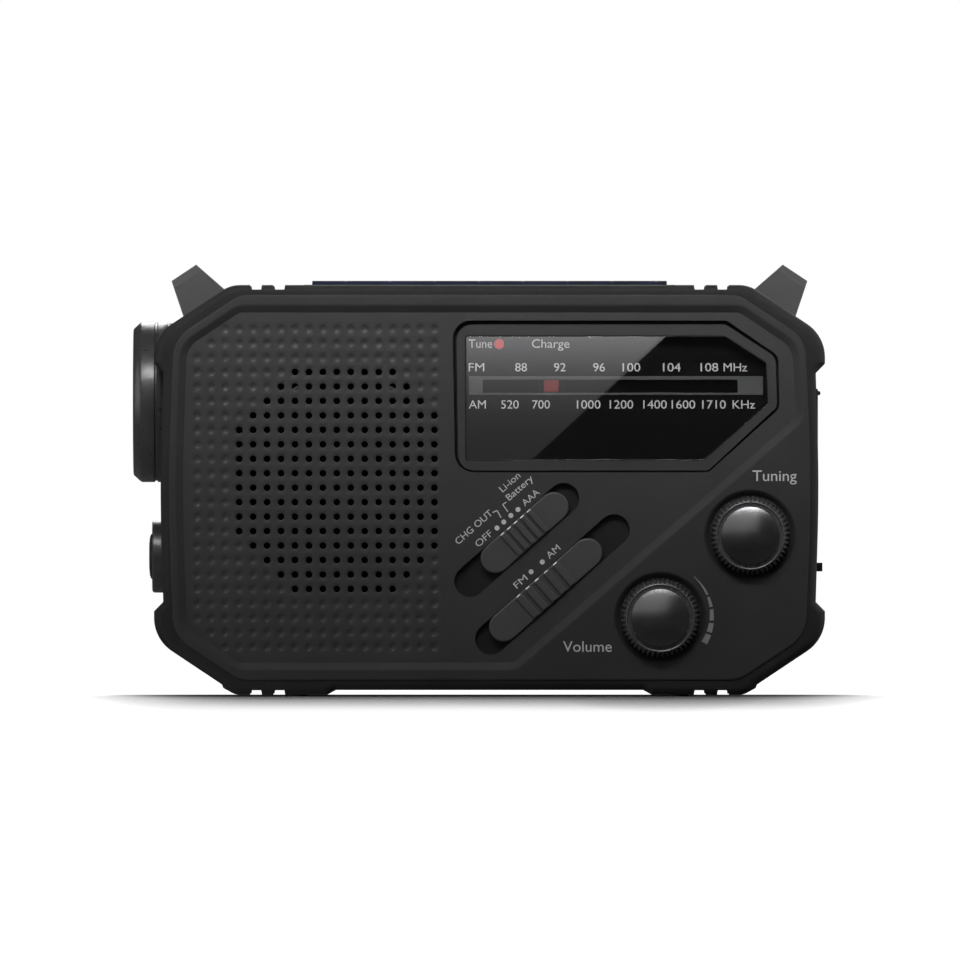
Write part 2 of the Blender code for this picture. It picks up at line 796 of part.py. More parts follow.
def knob(name, x, z, shaft_end):
    """A domed cap in a collar on a knurled skirt, with its shaft."""
    body = plate([knurl_outline(x, z)], (-32.6, -28.8))
    profile = [
        (0.0, -31.0),
        (8.2, -31.0),
        (8.2, -33.6),
        (7.7, -33.9),
        (7.2, -33.9),
        (6.9, -34.3),
        (5.6, -34.7),
        (3.2, -34.95),
        (0.0, KNOB_FRONT_Y),
    ]
    join(body, turned("Y", (x, z), list(reversed(profile)), 28))
    join(body, rod("Y", (-31.5, shaft_end), (x, z), SHAFT_RADIUS, 16))
    return keep(body, name, SATIN, (x, -31.0, z))


def knob_fittings():
    """What the knobs turn: the dial drum on the tuning capacitor, and the volume control."""
    drum = [
        (0.0, -21.2),
        (8.0, -21.2),
        (8.0, -20.8),
        (7.2, -20.2),
        (8.0, -19.6),
        (8.0, -19.0),
        (SHAFT_RADIUS, -19.0),
        (SHAFT_RADIUS, -15.3),
        (0.0, -15.3),
    ]
    keep(turned("Y", (TUNING_X, TUNING_Z), drum, 24), "dial_drum", WHITE, (TUNING_X, -20.2, TUNING_Z))
    capacitor = box((TUNING_X - 10, TUNING_X + 10), (-15.0, -9.3), (TUNING_Z - 10, TUNING_Z + 10))
    keep(capacitor, "tuning_capacitor", CLEAR)
    control = [
        (0.0, -18.8),
        (SHAFT_RADIUS + GAP, -18.8),
        (SHAFT_RADIUS + GAP, -22.0),
        (4.6, -22.0),
        (4.6, -18.5),
        (8.0, -18.5),
        (8.0, -9.3),
        (0.0, -9.3),
    ]
    keep(turned("Y", (VOLUME_X, VOLUME_Z), control, 20), "volume_control", STEEL)


# ---------------------------------------------------------------- slide switches


def slider(name, centre, recess_offset, between):
    """A stadium plate with five grip ribs and a stem down to its switch."""
    middle = along_slide(centre, recess_offset)
    body_y = (SLIDER_FRONT_Y, RECESS_FLOOR_Y - GAP)
    rib_y = (SLIDER_FRONT_Y - 0.45, SLIDER_FRONT_Y + 0.5)
    body = plate([stadium(middle, between, SLIDER_WIDTH, SLIDE_ANGLE)], body_y)
    pitch = between * RIB_PITCH
    for rib in range(-2, 3):
        place_of = along_slide(middle, rib * pitch)
        join(body, slanted_box(place_of, 0.45, SLIDER_WIDTH / 2 - 0.35, rib_y))
    join(body, slanted_box(middle, 1.4, 0.95, (-28.5, -20.8)))
    return keep(body, name, SATIN, (middle[0], SLIDER_FRONT_Y, middle[1]))


def slide_switch(name, centre, offset):
    """The metal-cased switch that a slider works."""
    middle = along_slide(centre, offset)
    body = slanted_box(middle, 10.0, 3.2, (-20.5, -15.0))
    join(body, slanted_box(middle, 8.5, 0.9, (-15.5, -9.3)))
    return keep(body, name, STEEL)


# ---------------------------------------------------------------- speaker and electronics


def speaker():
    frame = [
        (0.0, -13.4),
        (10.0, -13.4),
        (12.5, -14.0),
        (23.4, -25.0),
        (23.4, -26.0),
        (26.4, -26.0),
        (26.4, -24.6),
        (24.1, -24.2),
        (15.0, -13.5),
        (15.0, -6.4),
        (0.0, -6.4),
    ]
    keep(turned("Y", (GRILLE_X, SPEAKER_Z), list(reversed(frame)), 28), "speaker_frame", STEEL)
    cone = [
        (0.0, -15.0),
        (6.0, -14.0),
        (9.5, -14.4),
        (23.0, -25.2),
        (23.0, -25.9),
        (9.2, -15.2),
        (6.5, -16.6),
        (0.0, -18.2),
    ]
    keep(turned("Y", (GRILLE_X, SPEAKER_Z), list(reversed(cone)), 28), "speaker_cone", PAPER)


def electronics():
    board = box((-4, 66.5), (-9.0, -7.4), (12, 84))
    cut(board, box((59, 75), (-12, -5), (5, 19)))
    keep(board, "main_board", BOARD)
    rod_centre = (8.0, 92.0)
    ferrite = rod("X", (-50, 50), rod_centre, 4.0, 16)
    join(ferrite, rod("X", (-30, -8), rod_centre, 5.0, 16))
    keep(ferrite, "ferrite_aerial", FERRITE)
    keep(rod("X", (-69.6, -4.6), (1.5, 26.0), 9.2, 24), "lithium_cell", CELL)


# ---------------------------------------------------------------- batteries


def batteries():
    outer_x = (BAY_X[0] - 2, BAY_X[1] + 2)
    outer_z = (BAY_Z[0] - 2, BAY_Z[1] + 2)
    tray = box(outer_x, TRAY_Y, outer_z)
    bay_x = (BAY_X[0] - 0.5, BAY_X[1] + 0.5)
    bay_z = (BAY_Z[0] - 0.4, BAY_Z[1] + 0.4)
    cut(tray, box(bay_x, (TRAY_Y[0] + 1.2, 40), bay_z))
    keep(tray, "battery_tray", BLACK)
    middle_x = (BAY_X[0] + BAY_X[1]) / 2
    span = (middle_x - AAA_LENGTH / 2, middle_x + AAA_LENGTH / 2)
    for number in range(3):
        z = (BAY_Z[0] + BAY_Z[1]) / 2 + (number - 1) * (2 * AAA_RADIUS + 0.5)
        cell = rod("X", span, (TRAY_Y[0] + 1.5 + AAA_RADIUS, z), AAA_RADIUS, 18)
        keep(cell, f"aaa_cell_{number + 1}", CELL)
    door = box(
        (BAY_X[0] + GAP, BAY_X[1] - GAP),
        (BACK_Y - WALL, BACK_Y - 0.1),
        (BAY_Z[0] + GAP, BAY_Z[1] - GAP),
    )
    for rib in range(3):
        z = BAY_Z[1] - 4.5 - rib * 1.8
        join(door, box((middle_x - 6, middle_x + 6), (BACK_Y - 0.6, BACK_Y + 0.35), (z - 0.4, z + 0.4)))
    keep(door, "battery_door", SATIN, (middle_x, BACK_Y - 0.1, BAY_Z[0] + GAP))


# ---------------------------------------------------------------- torch and left side


def torch():
    barrel = [
        (TORCH_LENS_RADIUS + GAP, TORCH_FRONT_X),
        (TORCH_RADIUS - TORCH_CHAMFER, TORCH_FRONT_X),
        (TORCH_RADIUS, TORCH_FRONT_X + TORCH_CHAMFER),
        (TORCH_RADIUS, -80.6),
        (TORCH_NECK_RADIUS, -80.6),
        (TORCH_NECK_RADIUS, -68.0),
        (15.4, -68.0),
        (15.4, -87.7),
        (TORCH_LENS_RADIUS + GAP, -87.7),
        (TORCH_LENS_RADIUS + GAP, TORCH_FRONT_X),
    ]
    across = (0.0, TORCH_Z)
    keep(turned("X", across, barrel, 40), "torch_barrel", GLOSS)
    keep(rod("X", (-89.0, -88.0), across, TORCH_LENS_RADIUS, 40), "torch_lens", GLASS)
    bowl = [
        (0.0, -76.4),
        (2.6, -76.4),
        (7.0, -78.5),
        (12.0, -83.0),
        (14.4, -87.4),
        (15.0, -87.4),
        (15.0, -86.2),
        (13.0, -82.0),
        (8.0, -77.2),
        (3.5, -74.6),
        (0.0, -74.6),
    ]
    keep(turned("X", across, bowl, 28), "torch_reflector", CHROME)


def torch_button():
    across = (0.0, BUTTON_Z)
    bezel = [
        (6.2, BUTTON_BEZEL_X),
        (8.7, BUTTON_BEZEL_X),
        (9.1, BUTTON_BEZEL_X + 0.4),
        (9.1, -80.9),
        (7.5, -80.9),
        (7.5, -76.0),
        (6.2, -76.0),
        (6.2, BUTTON_BEZEL_X),
    ]
    keep(turned("X", across, bezel, 28), "torch_button_bezel", GLOSS)
    cap = [
        (0.0, BUTTON_CAP_X),
        (5.1, BUTTON_CAP_X),
        (BUTTON_RADIUS, BUTTON_CAP_X + 0.5),
        (BUTTON_RADIUS, -78.5),
        (0.0, -78.5),
    ]
    keep(turned("X", across, cap, 24), "torch_button", RUBBER, (BUTTON_CAP_X, 0.0, BUTTON_Z))


# ---------------------------------------------------------------- right side


def ports():
    y = (SOCKET_Y - 6.6, SOCKET_Y + 6.6)
    usb_out = box((67.0, 79.4), y, (USB_OUT_Z - 2.85, USB_OUT_Z + 2.85))
    cut(usb_out, box((70.4, 85), (y[0] + 0.35, y[1] - 0.35), (USB_OUT_Z - 2.5, USB_OUT_Z + 2.5)))
    join(usb_out, box((69.0, 78.8), (y[0] + 1.0, y[1] - 1.0), (USB_OUT_Z + 0.1, USB_OUT_Z + 1.9)))
    keep(usb_out, "usb_out_socket", STEEL)
    usb_in = plate([rectangle((SOCKET_Y - 4.4, SOCKET_Y + 4.4), (-1.6, 1.6), 1.5)], (0.0, 7.4))
    hole = plate([rectangle((SOCKET_Y - 4.1, SOCKET_Y + 4.1), (-1.25, 1.25), 1.2)], (1.2, 9.0))
    tongue = plate([rectangle((SOCKET_Y - 3.2, SOCKET_Y + 3.2), (-0.35, 0.35))], (0.6, 6.8))
    for shape in (usb_in, hole, tongue):
        turn_to_side(shape)
    cut(usb_in, hole)
    join(usb_in, tongue)
    keep(usb_in, "usb_in_socket", STEEL)


def turn_to_side(shape):
    """Turns a plate drawn in (y, height) terms to face the right side at the USB inlet."""
    offset = shape.location - place(0, 0, 0)
    shape.data.transform(Matrix.Translation((0, offset.y, 0)))
    shape.data.transform(Matrix.Rotation(math.pi / 2, 4, "Z") @ Matrix.Diagonal((1, -1, 1, 1)))
    shape.data.flip_normals()
    shape.location = place(72.0, 0, USB_IN_Z)
    bpy.context.view_layer.update()


def port_cover():
    """A rubber flap over the sockets, hinged along its lower edge, with a lip to pull."""
    x = 80.85
    z = (PORT_COVER_LOW_Z, PORT_COVER_HIGH_Z)
    cover = box((x, x + PORT_COVER_THICK), PORT_COVER_Y, z)
    middle_y = sum(PORT_COVER_Y) / 2
    join(cover, box((x + 0.6, 82.95), (middle_y - 4, middle_y + 4), (75.4, 76.4)))
    join(cover, box((x - 2.2, x + 0.5), (SOCKET_Y - 6, SOCKET_Y + 6), (USB_OUT_Z - 2.2, USB_OUT_Z - 0.4)))
    keep(cover, "port_cover", RUBBER, (x + PORT_COVER_THICK / 2, middle_y, PORT_COVER_LOW_Z))


def siren_switch():
    knob_y = (-5.0, -1.0)
    body = box((76.5, SIREN_TIP_X), knob_y, (SIREN_Z - 1.1, SIREN_Z + 1.1))
    join(body, box((74.2, 77.1), (knob_y[0] - 1.5, knob_y[1] + 1.5), (SIREN_Z - 2.4, SIREN_Z + 2.4)))
    keep(body, "siren_slider", GLOSS, (SIREN_TIP_X, sum(knob_y) / 2, SIREN_Z))


# ---------------------------------------------------------------- aerial


def aerial():
    """A knuckle with its pin across the trough, and three tubes that slide in one another."""
    knuckle = rod("Y", (AERIAL_Y - 3.1, AERIAL_Y + 3.1), (AERIAL_X, AERIAL_PIVOT_Z), 3.0, 20)
    join(knuckle, rod("Z", (AERIAL_PIVOT_Z - 6.0, AERIAL_PIVOT_Z), (AERIAL_X, AERIAL_Y), 2.4, 20))
    pin_y = (AERIAL_TROUGH_Y[0] + 0.2, AERIAL_TROUGH_Y[1] - 0.2)
    join(knuckle, rod("Y", pin_y, (AERIAL_X, AERIAL_PIVOT_Z), 1.0, 12))
    keep(knuckle, "aerial_knuckle", CHROME, (AERIAL_X, AERIAL_Y, AERIAL_PIVOT_Z))
    top = AERIAL_PIVOT_Z - 6.3
    wall = 0.3
    for number, radius in enumerate(AERIAL_RADII):
        start = top - 1.0 * number
        end = 25.5 - 0.7 * number
        if number == len(AERIAL_RADII) - 1:
            profile = [
                (0.0, start),
                (radius, start),
                (radius, end),
                (2.6, end),
                (2.6, end - 3.6),
                (2.0, end - 4.2),
                (0.0, end - 4.2),
            ]
        else:
            bore = radius - wall
            cap = start - 0.8
            profile = [(0.0, start), (radius, start), (radius, end), (bore, end), (bore, cap), (0.0, cap)]
        tube = turned_upright(profile)
        keep(tube, f"aerial_tube_{number + 1}", CHROME, (AERIAL_X, AERIAL_Y, start))


def turned_upright(profile):
    """A turned piece about the folded aerial's own line."""
    solid = turned("Y", (0, 0), profile, 16)
    solid.data.transform(Matrix.Rotation(math.pi / 2, 4, "X"))
    solid.location = place(AERIAL_X, AERIAL_Y, 0)
    bpy.context.view_layer.update()
    return solid


# ---------------------------------------------------------------- crank and generator


def gear_outline(x, z, teeth, module, phase):
    """A spur gear: each tooth has a tip, two sloping flanks and a root."""
    pitch_radius = teeth * module / 2
    tip, root = pitch_radius + 0.85 * module, pitch_radius - 1.15 * module
    points = []
    for tooth in range(teeth):
        for share, radius in ((-0.30, root), (-0.10, tip), (0.10, tip), (0.30, root)):
            angle = phase + 2 * math.pi * (tooth + share) / teeth
            points.append((x + radius * math.cos(angle), z + radius * math.sin(angle)))
    return points


def polar(x, z, distance, angle):
    return (x + distance * math.cos(angle), z + distance * math.sin(angle))


def gear_train():
    """Crank gear, stepped idler and generator with its pinion. A tooth meets a gap at each mesh."""
    first_distance = (CRANK_TEETH + PINION_TEETH) * FIRST_MODULE / 2
    second_distance = (IDLER_TEETH + PINION_TEETH) * SECOND_MODULE / 2
    idler_x, idler_z = polar(CRANK_X, CRANK_Z, first_distance, IDLER_DIRECTION)
    rotor_x, rotor_z = polar(idler_x, idler_z, second_distance, GENERATOR_DIRECTION)
    teeth = gear_outline(CRANK_X, CRANK_Z, CRANK_TEETH, FIRST_MODULE, IDLER_DIRECTION)
    gear = plate([teeth], FIRST_GEARS_Y)
    join(gear, rod("Y", (7.0, 17.0), (CRANK_X, CRANK_Z), 2.5, 16))
    keep(gear, "crank_gear", WHITE, (CRANK_X, 11.0, CRANK_Z))
    facing = IDLER_DIRECTION + math.pi + math.pi / PINION_TEETH
    small = gear_outline(idler_x, idler_z, PINION_TEETH, FIRST_MODULE, facing)
    large = gear_outline(idler_x, idler_z, IDLER_TEETH, SECOND_MODULE, GENERATOR_DIRECTION)
    idler = plate([small], (8.5, FIRST_GEARS_Y[1]))
    join(idler, plate([large], SECOND_GEARS_Y))
    keep(idler, "idler_gear", WHITE, (idler_x, 9.0, idler_z))
    facing = GENERATOR_DIRECTION + math.pi + math.pi / PINION_TEETH
    pinion = plate([gear_outline(rotor_x, rotor_z, PINION_TEETH, SECOND_MODULE, facing)], SECOND_GEARS_Y)
    join(pinion, rod("Y", (3.5, 7.0), (rotor_x, rotor_z), 1.0, 12))
    keep(pinion, "generator_pinion", BRASS, (rotor_x, 7.0, rotor_z))
    can = rod("Y", (-6.0, 4.4), (rotor_x, rotor_z), 12.5, 24)
    cut(can, rod("Y", (3.0, 9.0), (rotor_x, rotor_z), 1.5, 12))
    keep(can, "generator", STEEL)


def crank():
    """The arm, the pin block that folds in its fork, and the grip that spins on it."""
    pin_z = CRANK_Z - CRANK_REACH
    arm = rod("Y", (17.3, 25.5), (CRANK_X, CRANK_Z), 6.5, 28)
    join(arm, box((CRANK_X - 7.2, CRANK_X + 7.2), (17.3, 19.6), (pin_z, CRANK_Z)))
    join(arm, rod("Y", (17.3, 19.6), (CRANK_X, pin_z), 7.2, 24))
    for side in (-1, 1):
        ear = (CRANK_X + side * 5.2, CRANK_X + side * 7.2)
        join(arm, box((min(ear), max(ear)), (18.0, GRIP_Y + 2.6), (pin_z - 3.2, pin_z + 6.0)))
    keep(arm, "crank_arm", SATIN, (CRANK_X, 18.0, CRANK_Z))
    block = rod("X", (CRANK_X - 4.9, CRANK_X + 4.9), (GRIP_Y, pin_z), 3.0, 20)
    join(block, rod("Z", (pin_z, pin_z + 19.3), (CRANK_X, GRIP_Y), 1.4, 12))
    keep(block, "crank_pin", STEEL, (CRANK_X, GRIP_Y, pin_z))
    sleeve = rod("Z", (pin_z + 3.4, pin_z + 19.6), (CRANK_X, GRIP_Y), GRIP_RADIUS, 24)
    cut(sleeve, rod("Z", (pin_z, pin_z + 25), (CRANK_X, GRIP_Y), 1.7, 12))
    keep(sleeve, "crank_grip", SATIN, (CRANK_X, GRIP_Y, pin_z))


# ---------------------------------------------------------------- build

clear_scene()
RADIO = collection("emergency_radio")
CUTTERS = collection("cutters", helpers=True)

SATIN = material("satin_black_plastic", (0.030, 0.030, 0.032), 0.55)
RUBBER = material("black_rubber", (0.018, 0.018, 0.019), 0.75)
GLOSS = material("gloss_black_plastic", (0.012, 0.012, 0.013), 0.25)
BLACK = material("dial_black", (0.008, 0.008, 0.009), 0.35)
GLASS = material("clear_window", (0.55, 0.56, 0.58), 0.05)
RED = material("red_plastic", (0.62, 0.05, 0.05), 0.35)
STEEL = material("plated_steel", (0.55, 0.56, 0.57), 0.35, 1.0)
CHROME = material("chrome", (0.8, 0.8, 0.82), 0.12, 1.0)
BRASS = material("brass", (0.6, 0.42, 0.16), 0.3, 1.0)
WHITE = material("white_acetal", (0.75, 0.74, 0.70), 0.5)
CLEAR = material("milky_plastic", (0.70, 0.71, 0.68), 0.4)
PAPER = material("speaker_paper", (0.03, 0.03, 0.03), 0.9)
BOARD = material("circuit_board", (0.02, 0.16, 0.06), 0.5)
FERRITE = material("ferrite", (0.06, 0.055, 0.05), 0.6)
CELL = material("cell_wrap", (0.08, 0.16, 0.34), 0.35)
SOLAR = material("solar_glass", (0.010, 0.013, 0.035), 0.12)

front_cabinet()
front_panel()
rear_cabinet()
front_ring = bumper("front_bumper", BUMPER_FRONT_Y, SPLIT_Y)
rear_ring = bumper("rear_bumper", BUMPER_BACK_Y, -SPLIT_Y)
for end, x in (("left", -47.7), ("right", 47.7)):
    foot(f"front_{end}_foot", x, -24.8)
    foot(f"rear_{end}_foot", x, 24.8)
    foot_pockets(front_ring, x, -24.8)
    foot_pockets(rear_ring, x, 24.8)
for number, (x, z) in enumerate(SCREWS, 1):
    case_screw(number, x, z)
strap_lug("left_strap_lug", -1)
strap_lug("right_strap_lug", 1)
solar = box((-PANEL_X, PANEL_X), (-PANEL_Y, PANEL_Y), PANEL_Z)
keep(solar, "solar_panel", SOLAR)
dial()
knob("tuning_knob", TUNING_X, TUNING_Z, -21.5)
knob("volume_knob", VOLUME_X, VOLUME_Z, -19.5)
knob_fittings()
slider("power_slider", POWER_CENTRE, POWER_OFFSET, POWER_SLIDER)
slider("band_slider", BAND_CENTRE, BAND_OFFSET, BAND_SLIDER)
slide_switch("power_switch", POWER_CENTRE, POWER_OFFSET)
slide_switch("band_switch", BAND_CENTRE, BAND_OFFSET)
speaker()
electronics()
batteries()
torch()
torch_button()
ports()
port_cover()
siren_switch()
aerial()
gear_train()
crank()
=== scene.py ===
"""Looks of the emergency radio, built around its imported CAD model.

Sizes are in body millimetres, as in the CAD: X to the right seen from the front, Y towards the
back, Z up from the feet. place() turns them into the frame's metres.
"""

import json
import math

import bmesh
import bpy
from mathutils import Matrix, Vector


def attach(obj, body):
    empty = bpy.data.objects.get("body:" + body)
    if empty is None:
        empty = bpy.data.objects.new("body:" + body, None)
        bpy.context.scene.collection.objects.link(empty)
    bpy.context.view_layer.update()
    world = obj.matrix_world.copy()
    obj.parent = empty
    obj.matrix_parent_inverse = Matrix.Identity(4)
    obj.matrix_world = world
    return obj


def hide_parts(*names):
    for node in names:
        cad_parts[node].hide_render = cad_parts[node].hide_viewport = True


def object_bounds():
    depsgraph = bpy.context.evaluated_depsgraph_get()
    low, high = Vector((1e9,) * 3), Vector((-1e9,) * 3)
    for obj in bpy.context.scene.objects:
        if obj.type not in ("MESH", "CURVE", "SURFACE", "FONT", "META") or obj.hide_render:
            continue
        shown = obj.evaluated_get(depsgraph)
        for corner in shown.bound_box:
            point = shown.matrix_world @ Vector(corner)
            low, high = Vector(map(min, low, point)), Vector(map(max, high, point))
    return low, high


MM = 0.001
BODY_LOW = Vector((-89.3, -35.0, 0.0))  # lowest corner of the whole object's box

# Planes of the front
FRAME_Y = -30.0
FACE_Y = -28.8
FACE_BACK_Y = -26.4
SPLIT_Y = -20.6
RECESS_FLOOR_Y = -27.3
MIDDLE_Z = 52.25
BOW = 440.0

# Grille
GRILLE_COLUMNS = 18
GRILLE_ROWS = 23
GRILLE_PITCH = (3.4875, 3.616)
GRILLE_FIRST = (-73.05, 91.95)
GRILLE_MIDDLE = (-36.45, 52.2)
HOLE_RADIUS = 0.86
DIMPLE_RADIUS = 0.95
DIMPLE_DEPTH = 0.22
DIMPLE_LIP = 0.04
HOLE_LIP = ((0.12, 0.0), (0.03, 0.05), (0.0, 0.16))  # wider than the hole, and how deep
OPEN_CELLS = (4, 19)  # first and last row and column with open holes
OPEN_STRAIGHT = 3
CORNER_STEPS = 3
CLOTH_Y = (-26.35, -26.15)
CLOTH_RADIUS = 27.6

# Controls
KNOBS = {"tuning_knob": (65.2, 40.2, "tuning"), "volume_knob": (42.7, 19.65, "volume")}
DISH_PROFILE = [
    (0.0, -28.5), (9.8, -28.5), (10.15, -28.6), (10.95, -29.55), (11.25, -29.85), (11.6, -29.99),
    (11.9, -30.1), (11.9, -31.0), (0.0, -31.0),
]
KNURL_TEETH = 48
KNURL_RINGS = [  # radius at a tooth's tip, radius between teeth, y
    (8.5, 8.5, -33.05), (8.85, 8.55, -32.95), (9.2, 8.62, -32.4), (9.4, 8.72, -31.6), (9.85, 9.15, -29.7),
    (9.95, 9.5, -28.8),
]
KNOB_RIM = [
    (0.0, -31.8), (8.6, -31.8), (8.6, -33.1), (8.52, -33.32), (8.35, -33.42), (8.18, -33.32), (8.1, -33.1),
    (8.05, -32.2), (0.0, -32.2),
]
CAP_SIDE = [(0.0, -32.0), (7.2, -32.0), (7.25, -33.5), (7.2, -33.68)]
KNOB_TOP_Y = -34.97
SHAFT_END = {"tuning": -21.5, "volume": -19.5}
DOME_RADIUS = 21.05
DOME_ANGLE = math.radians(20.0)
TOOTH_SHAPE = ((0.0, 0.0), (0.14, 0.08), (0.28, 0.75), (0.5, 1.0), (0.72, 0.75), (0.86, 0.08))
SLIDE_ANGLE = math.radians(41.5)
RECESSES = {"power": ((6.83, 39.14), 31.15, 7.9), "band": ((15.75, 28.0), 41.13, 7.9)}
SLIDERS = {
    "power_slider": ((8.79, 40.95), 19.27, 2.18, "power_slide_cap"),
    "band_slider": ((14.08, 26.61), 27.74, 3.03, "band_slide_cap"),
}
SLIDER_WIDTH = 7.55
POWER_DOTS = [(1.88, 42.13), (3.57, 43.63), (5.35, 45.25), (7.13, 46.75)]
BAND_DOTS = [(10.4, 31.18), (13.2, 33.63)]

# Dial
DIAL_Y = -26.1
SLOT_X = (-1.7, 62.05)
SLOT_Z = (75.95, 79.25)
SLOT_FRAME_X = (-5.15, 68.4)
SLOT_FRAME_Z = (75.4, 80.1)
LAMP = (2.4, 88.15)
LAMP_HOLE = 1.45
LAMP_PROFILE = [
    (0.0, -26.75), (0.7, -26.7), (1.15, -26.45), (1.25, -26.1), (1.25, -22.0), (0.0, -22.0),
]

# Lettering: words, places and widths
FONT_CAPITAL = 0.729  # a capital's share of the font's size
SCALE_LEFT = -5.2
SCALE_TEXT = 2.2
SWITCH_TEXT = 1.75
DIGIT_WIDTH = 1.47
FM_ROW = [("88", 7.9), ("92", 17.6), ("96", 27.4), ("100", 35.5), ("104", 45.6), ("108", 55.0)]
AM_ROW = [
    ("520", 5.1), ("700", 12.9), ("1000", 24.8), ("1200", 33.0), ("1400", 41.4), ("1600", 48.5),
    ("1710", 56.15),
]
SCALES = [  # name, z, width, numbers, then the unit with its middle and width
    ("FM", 81.3, 3.9, FM_ROW, "MHz", 61.5, 5.9),
    ("AM", 72.0, 4.3, AM_ROW, "KHz", 63.6, 5.6),
]
SWITCH_WORDS = [
    ("CHG OUT", (-7.75, 37.9), 11.6),
    ("OFF", (-2.75, 37.25), 4.9),
    ("Li-ion", (3.35, 51.0), 6.0),
    ("Battery", (5.0, 48.9), 8.1),
    ("AAA", (8.9, 47.5), 5.0),
    ("FM", (6.9, 26.9), 3.7),
    ("AM", (15.0, 34.35), 3.8),
]
LEADERS = [((0.8, 46.0), (1.9, 46.5), (2.9, 44.7)), ((4.2, 48.6), (3.3, 48.0), (4.6, 46.2))]
DOT_RADIUS = 0.62
PRINT_Y = (FACE_Y - 0.02, FACE_Y + 0.01)
WEDGE_BOUNDS = [52.0, 24.9, 10.8, -4.4, -17.6, -31.0]  # degrees round the volume knob
WEDGE_GAP = 1.3
WEDGE_RADIUS = 13.4
WEDGE_WIDTH = (0.15, 1.45)  # at the thin end, and what is added at the thick end

# Left end: profiles are (radius, x)
TORCH_Z = 73.7
BUTTON_Z = 34.95
BARREL = [
    (16.8, -89.3), (18.0, -89.3), (18.35, -89.2), (19.85, -87.6), (20.1, -87.1), (20.1, -84.0),
    (19.75, -83.75), (19.75, -83.35), (20.1, -83.1), (20.1, -81.0), (19.85, -80.6), (17.2, -80.6),
    (17.2, -68.0), (15.4, -68.0), (15.4, -87.7), (16.8, -87.7),
]
TORCH_WINDOW = [(0.0, -89.0), (16.2, -89.0), (16.5, -88.7), (16.5, -88.0), (0.0, -88.0)]
BOWL_RADIUS = 14.4
BOWL_FLOOR_X = -76.4
BOWL_DEPTH = 11.0
CHIP_RADIUS = 2.6
CHIP = [
    (0.0, -78.4), (0.9, -78.3), (1.5, -77.8), (1.6, -77.0), (2.6, -76.8), (2.6, -76.0), (0.0, -76.0),
]
BUTTON_RING = [
    (6.2, -84.3), (6.5, -84.6), (8.5, -84.6), (8.95, -84.4), (9.1, -83.9), (9.1, -80.9), (7.5, -80.9),
    (7.5, -76.0), (6.2, -76.0),
]
BUTTON_CAP = [
    (0.0, -85.4), (3.2, -85.36), (4.8, -85.2), (5.5, -84.95), (5.85, -84.4), (5.85, -78.5), (0.0, -78.5),
]

# The outlines' corners are (x, z, rounding radius), counterclockwise seen from the front
CABINET_QUARTER = [(79.1, 89.5, 9.0), (62.4, 100.5, 7.0)]
CABINET_SIDE = 80.5
WALL = 2.2
BUMPER_SIDE = 82.45
BUMPER_TOP = 102.9
BUMPER_BOTTOM = 0.4
NOTCH_X = (52.6, 58.4)
NOTCH_DEPTH = 1.15
FOOT_X = 47.7
FOOT_Y = 24.8
FOOT_STEM = 2.3
BUMPER_UPPER = [
    (81.6, 80.85, 0.0), (83.9, 83.2, 0.5), (83.9, 90.2, 10.0), (64.8, 102.9, 8.0),
]
BUMPER_LOWER = [
    (38.4, 1.6, 0.3), (40.6, 0.4, 0.3), (63.5, 0.4, 4.5), (66.6, 2.1, 0.0), (66.9, 2.95, 0.0),
    (83.9, 14.3, 10.0), (83.9, 21.3, 0.5), (81.6, 23.65, 0.0),
]
FACE = [
    (76.7, 69.8, 4.0), (75.7, 87.2, 6.0), (62.5, 96.0, 3.0), (-62.5, 96.0, 3.0), (-75.7, 87.2, 6.0),
    (-76.9, MIDDLE_Z, BOW), (-75.7, 17.3, 6.0), (-62.5, 8.5, 3.0), (6.0, 8.5, 3.0),
]
WINDOW = [
    (72.5, 72.0, 2.5), (72.2, 85.2, 3.0), (59.3, 94.0, 1.5), (-9.3, 94.0, 4.5), (-8.6, 56.2, 4.5),
    (54.9, 56.2, 1.0),
]
BEZEL = [
    (71.9, 72.4, 2.5), (71.5, 84.9, 3.0), (59.0, 93.0, 1.5), (-8.3, 93.0, 4.0), (-7.8, 56.5, 4.0),
    (54.7, 56.5, 1.0),
]
LENS = [
    (69.8, 73.2, 0.3), (69.2, 83.5, 0.3), (58.8, 90.2, 0.3), (-6.0, 90.2, 0.6), (-6.0, 59.0, 0.6),
    (53.7, 59.0, 0.3),
]

FACE_SLOPE = [  # how far outside the face's outline, y
    (0.0, -26.0), (0.0, FACE_Y), (0.25, -28.95), (1.45, -29.78), (1.8, -29.93), (2.3, -30.02),
    (2.3, -31.0),
]

# Finishes
LATHE_SHARP = 38
ARC_MIDDLE = 0.3  # the middle of a quarter arc, as a share of its radius from the corner
PLASTIC_INDEX = 1.55
SOLAR_BARS = (11.1, 0.55)  # pitch and width
SOLAR_FINGERS = (1.1, 0.12)

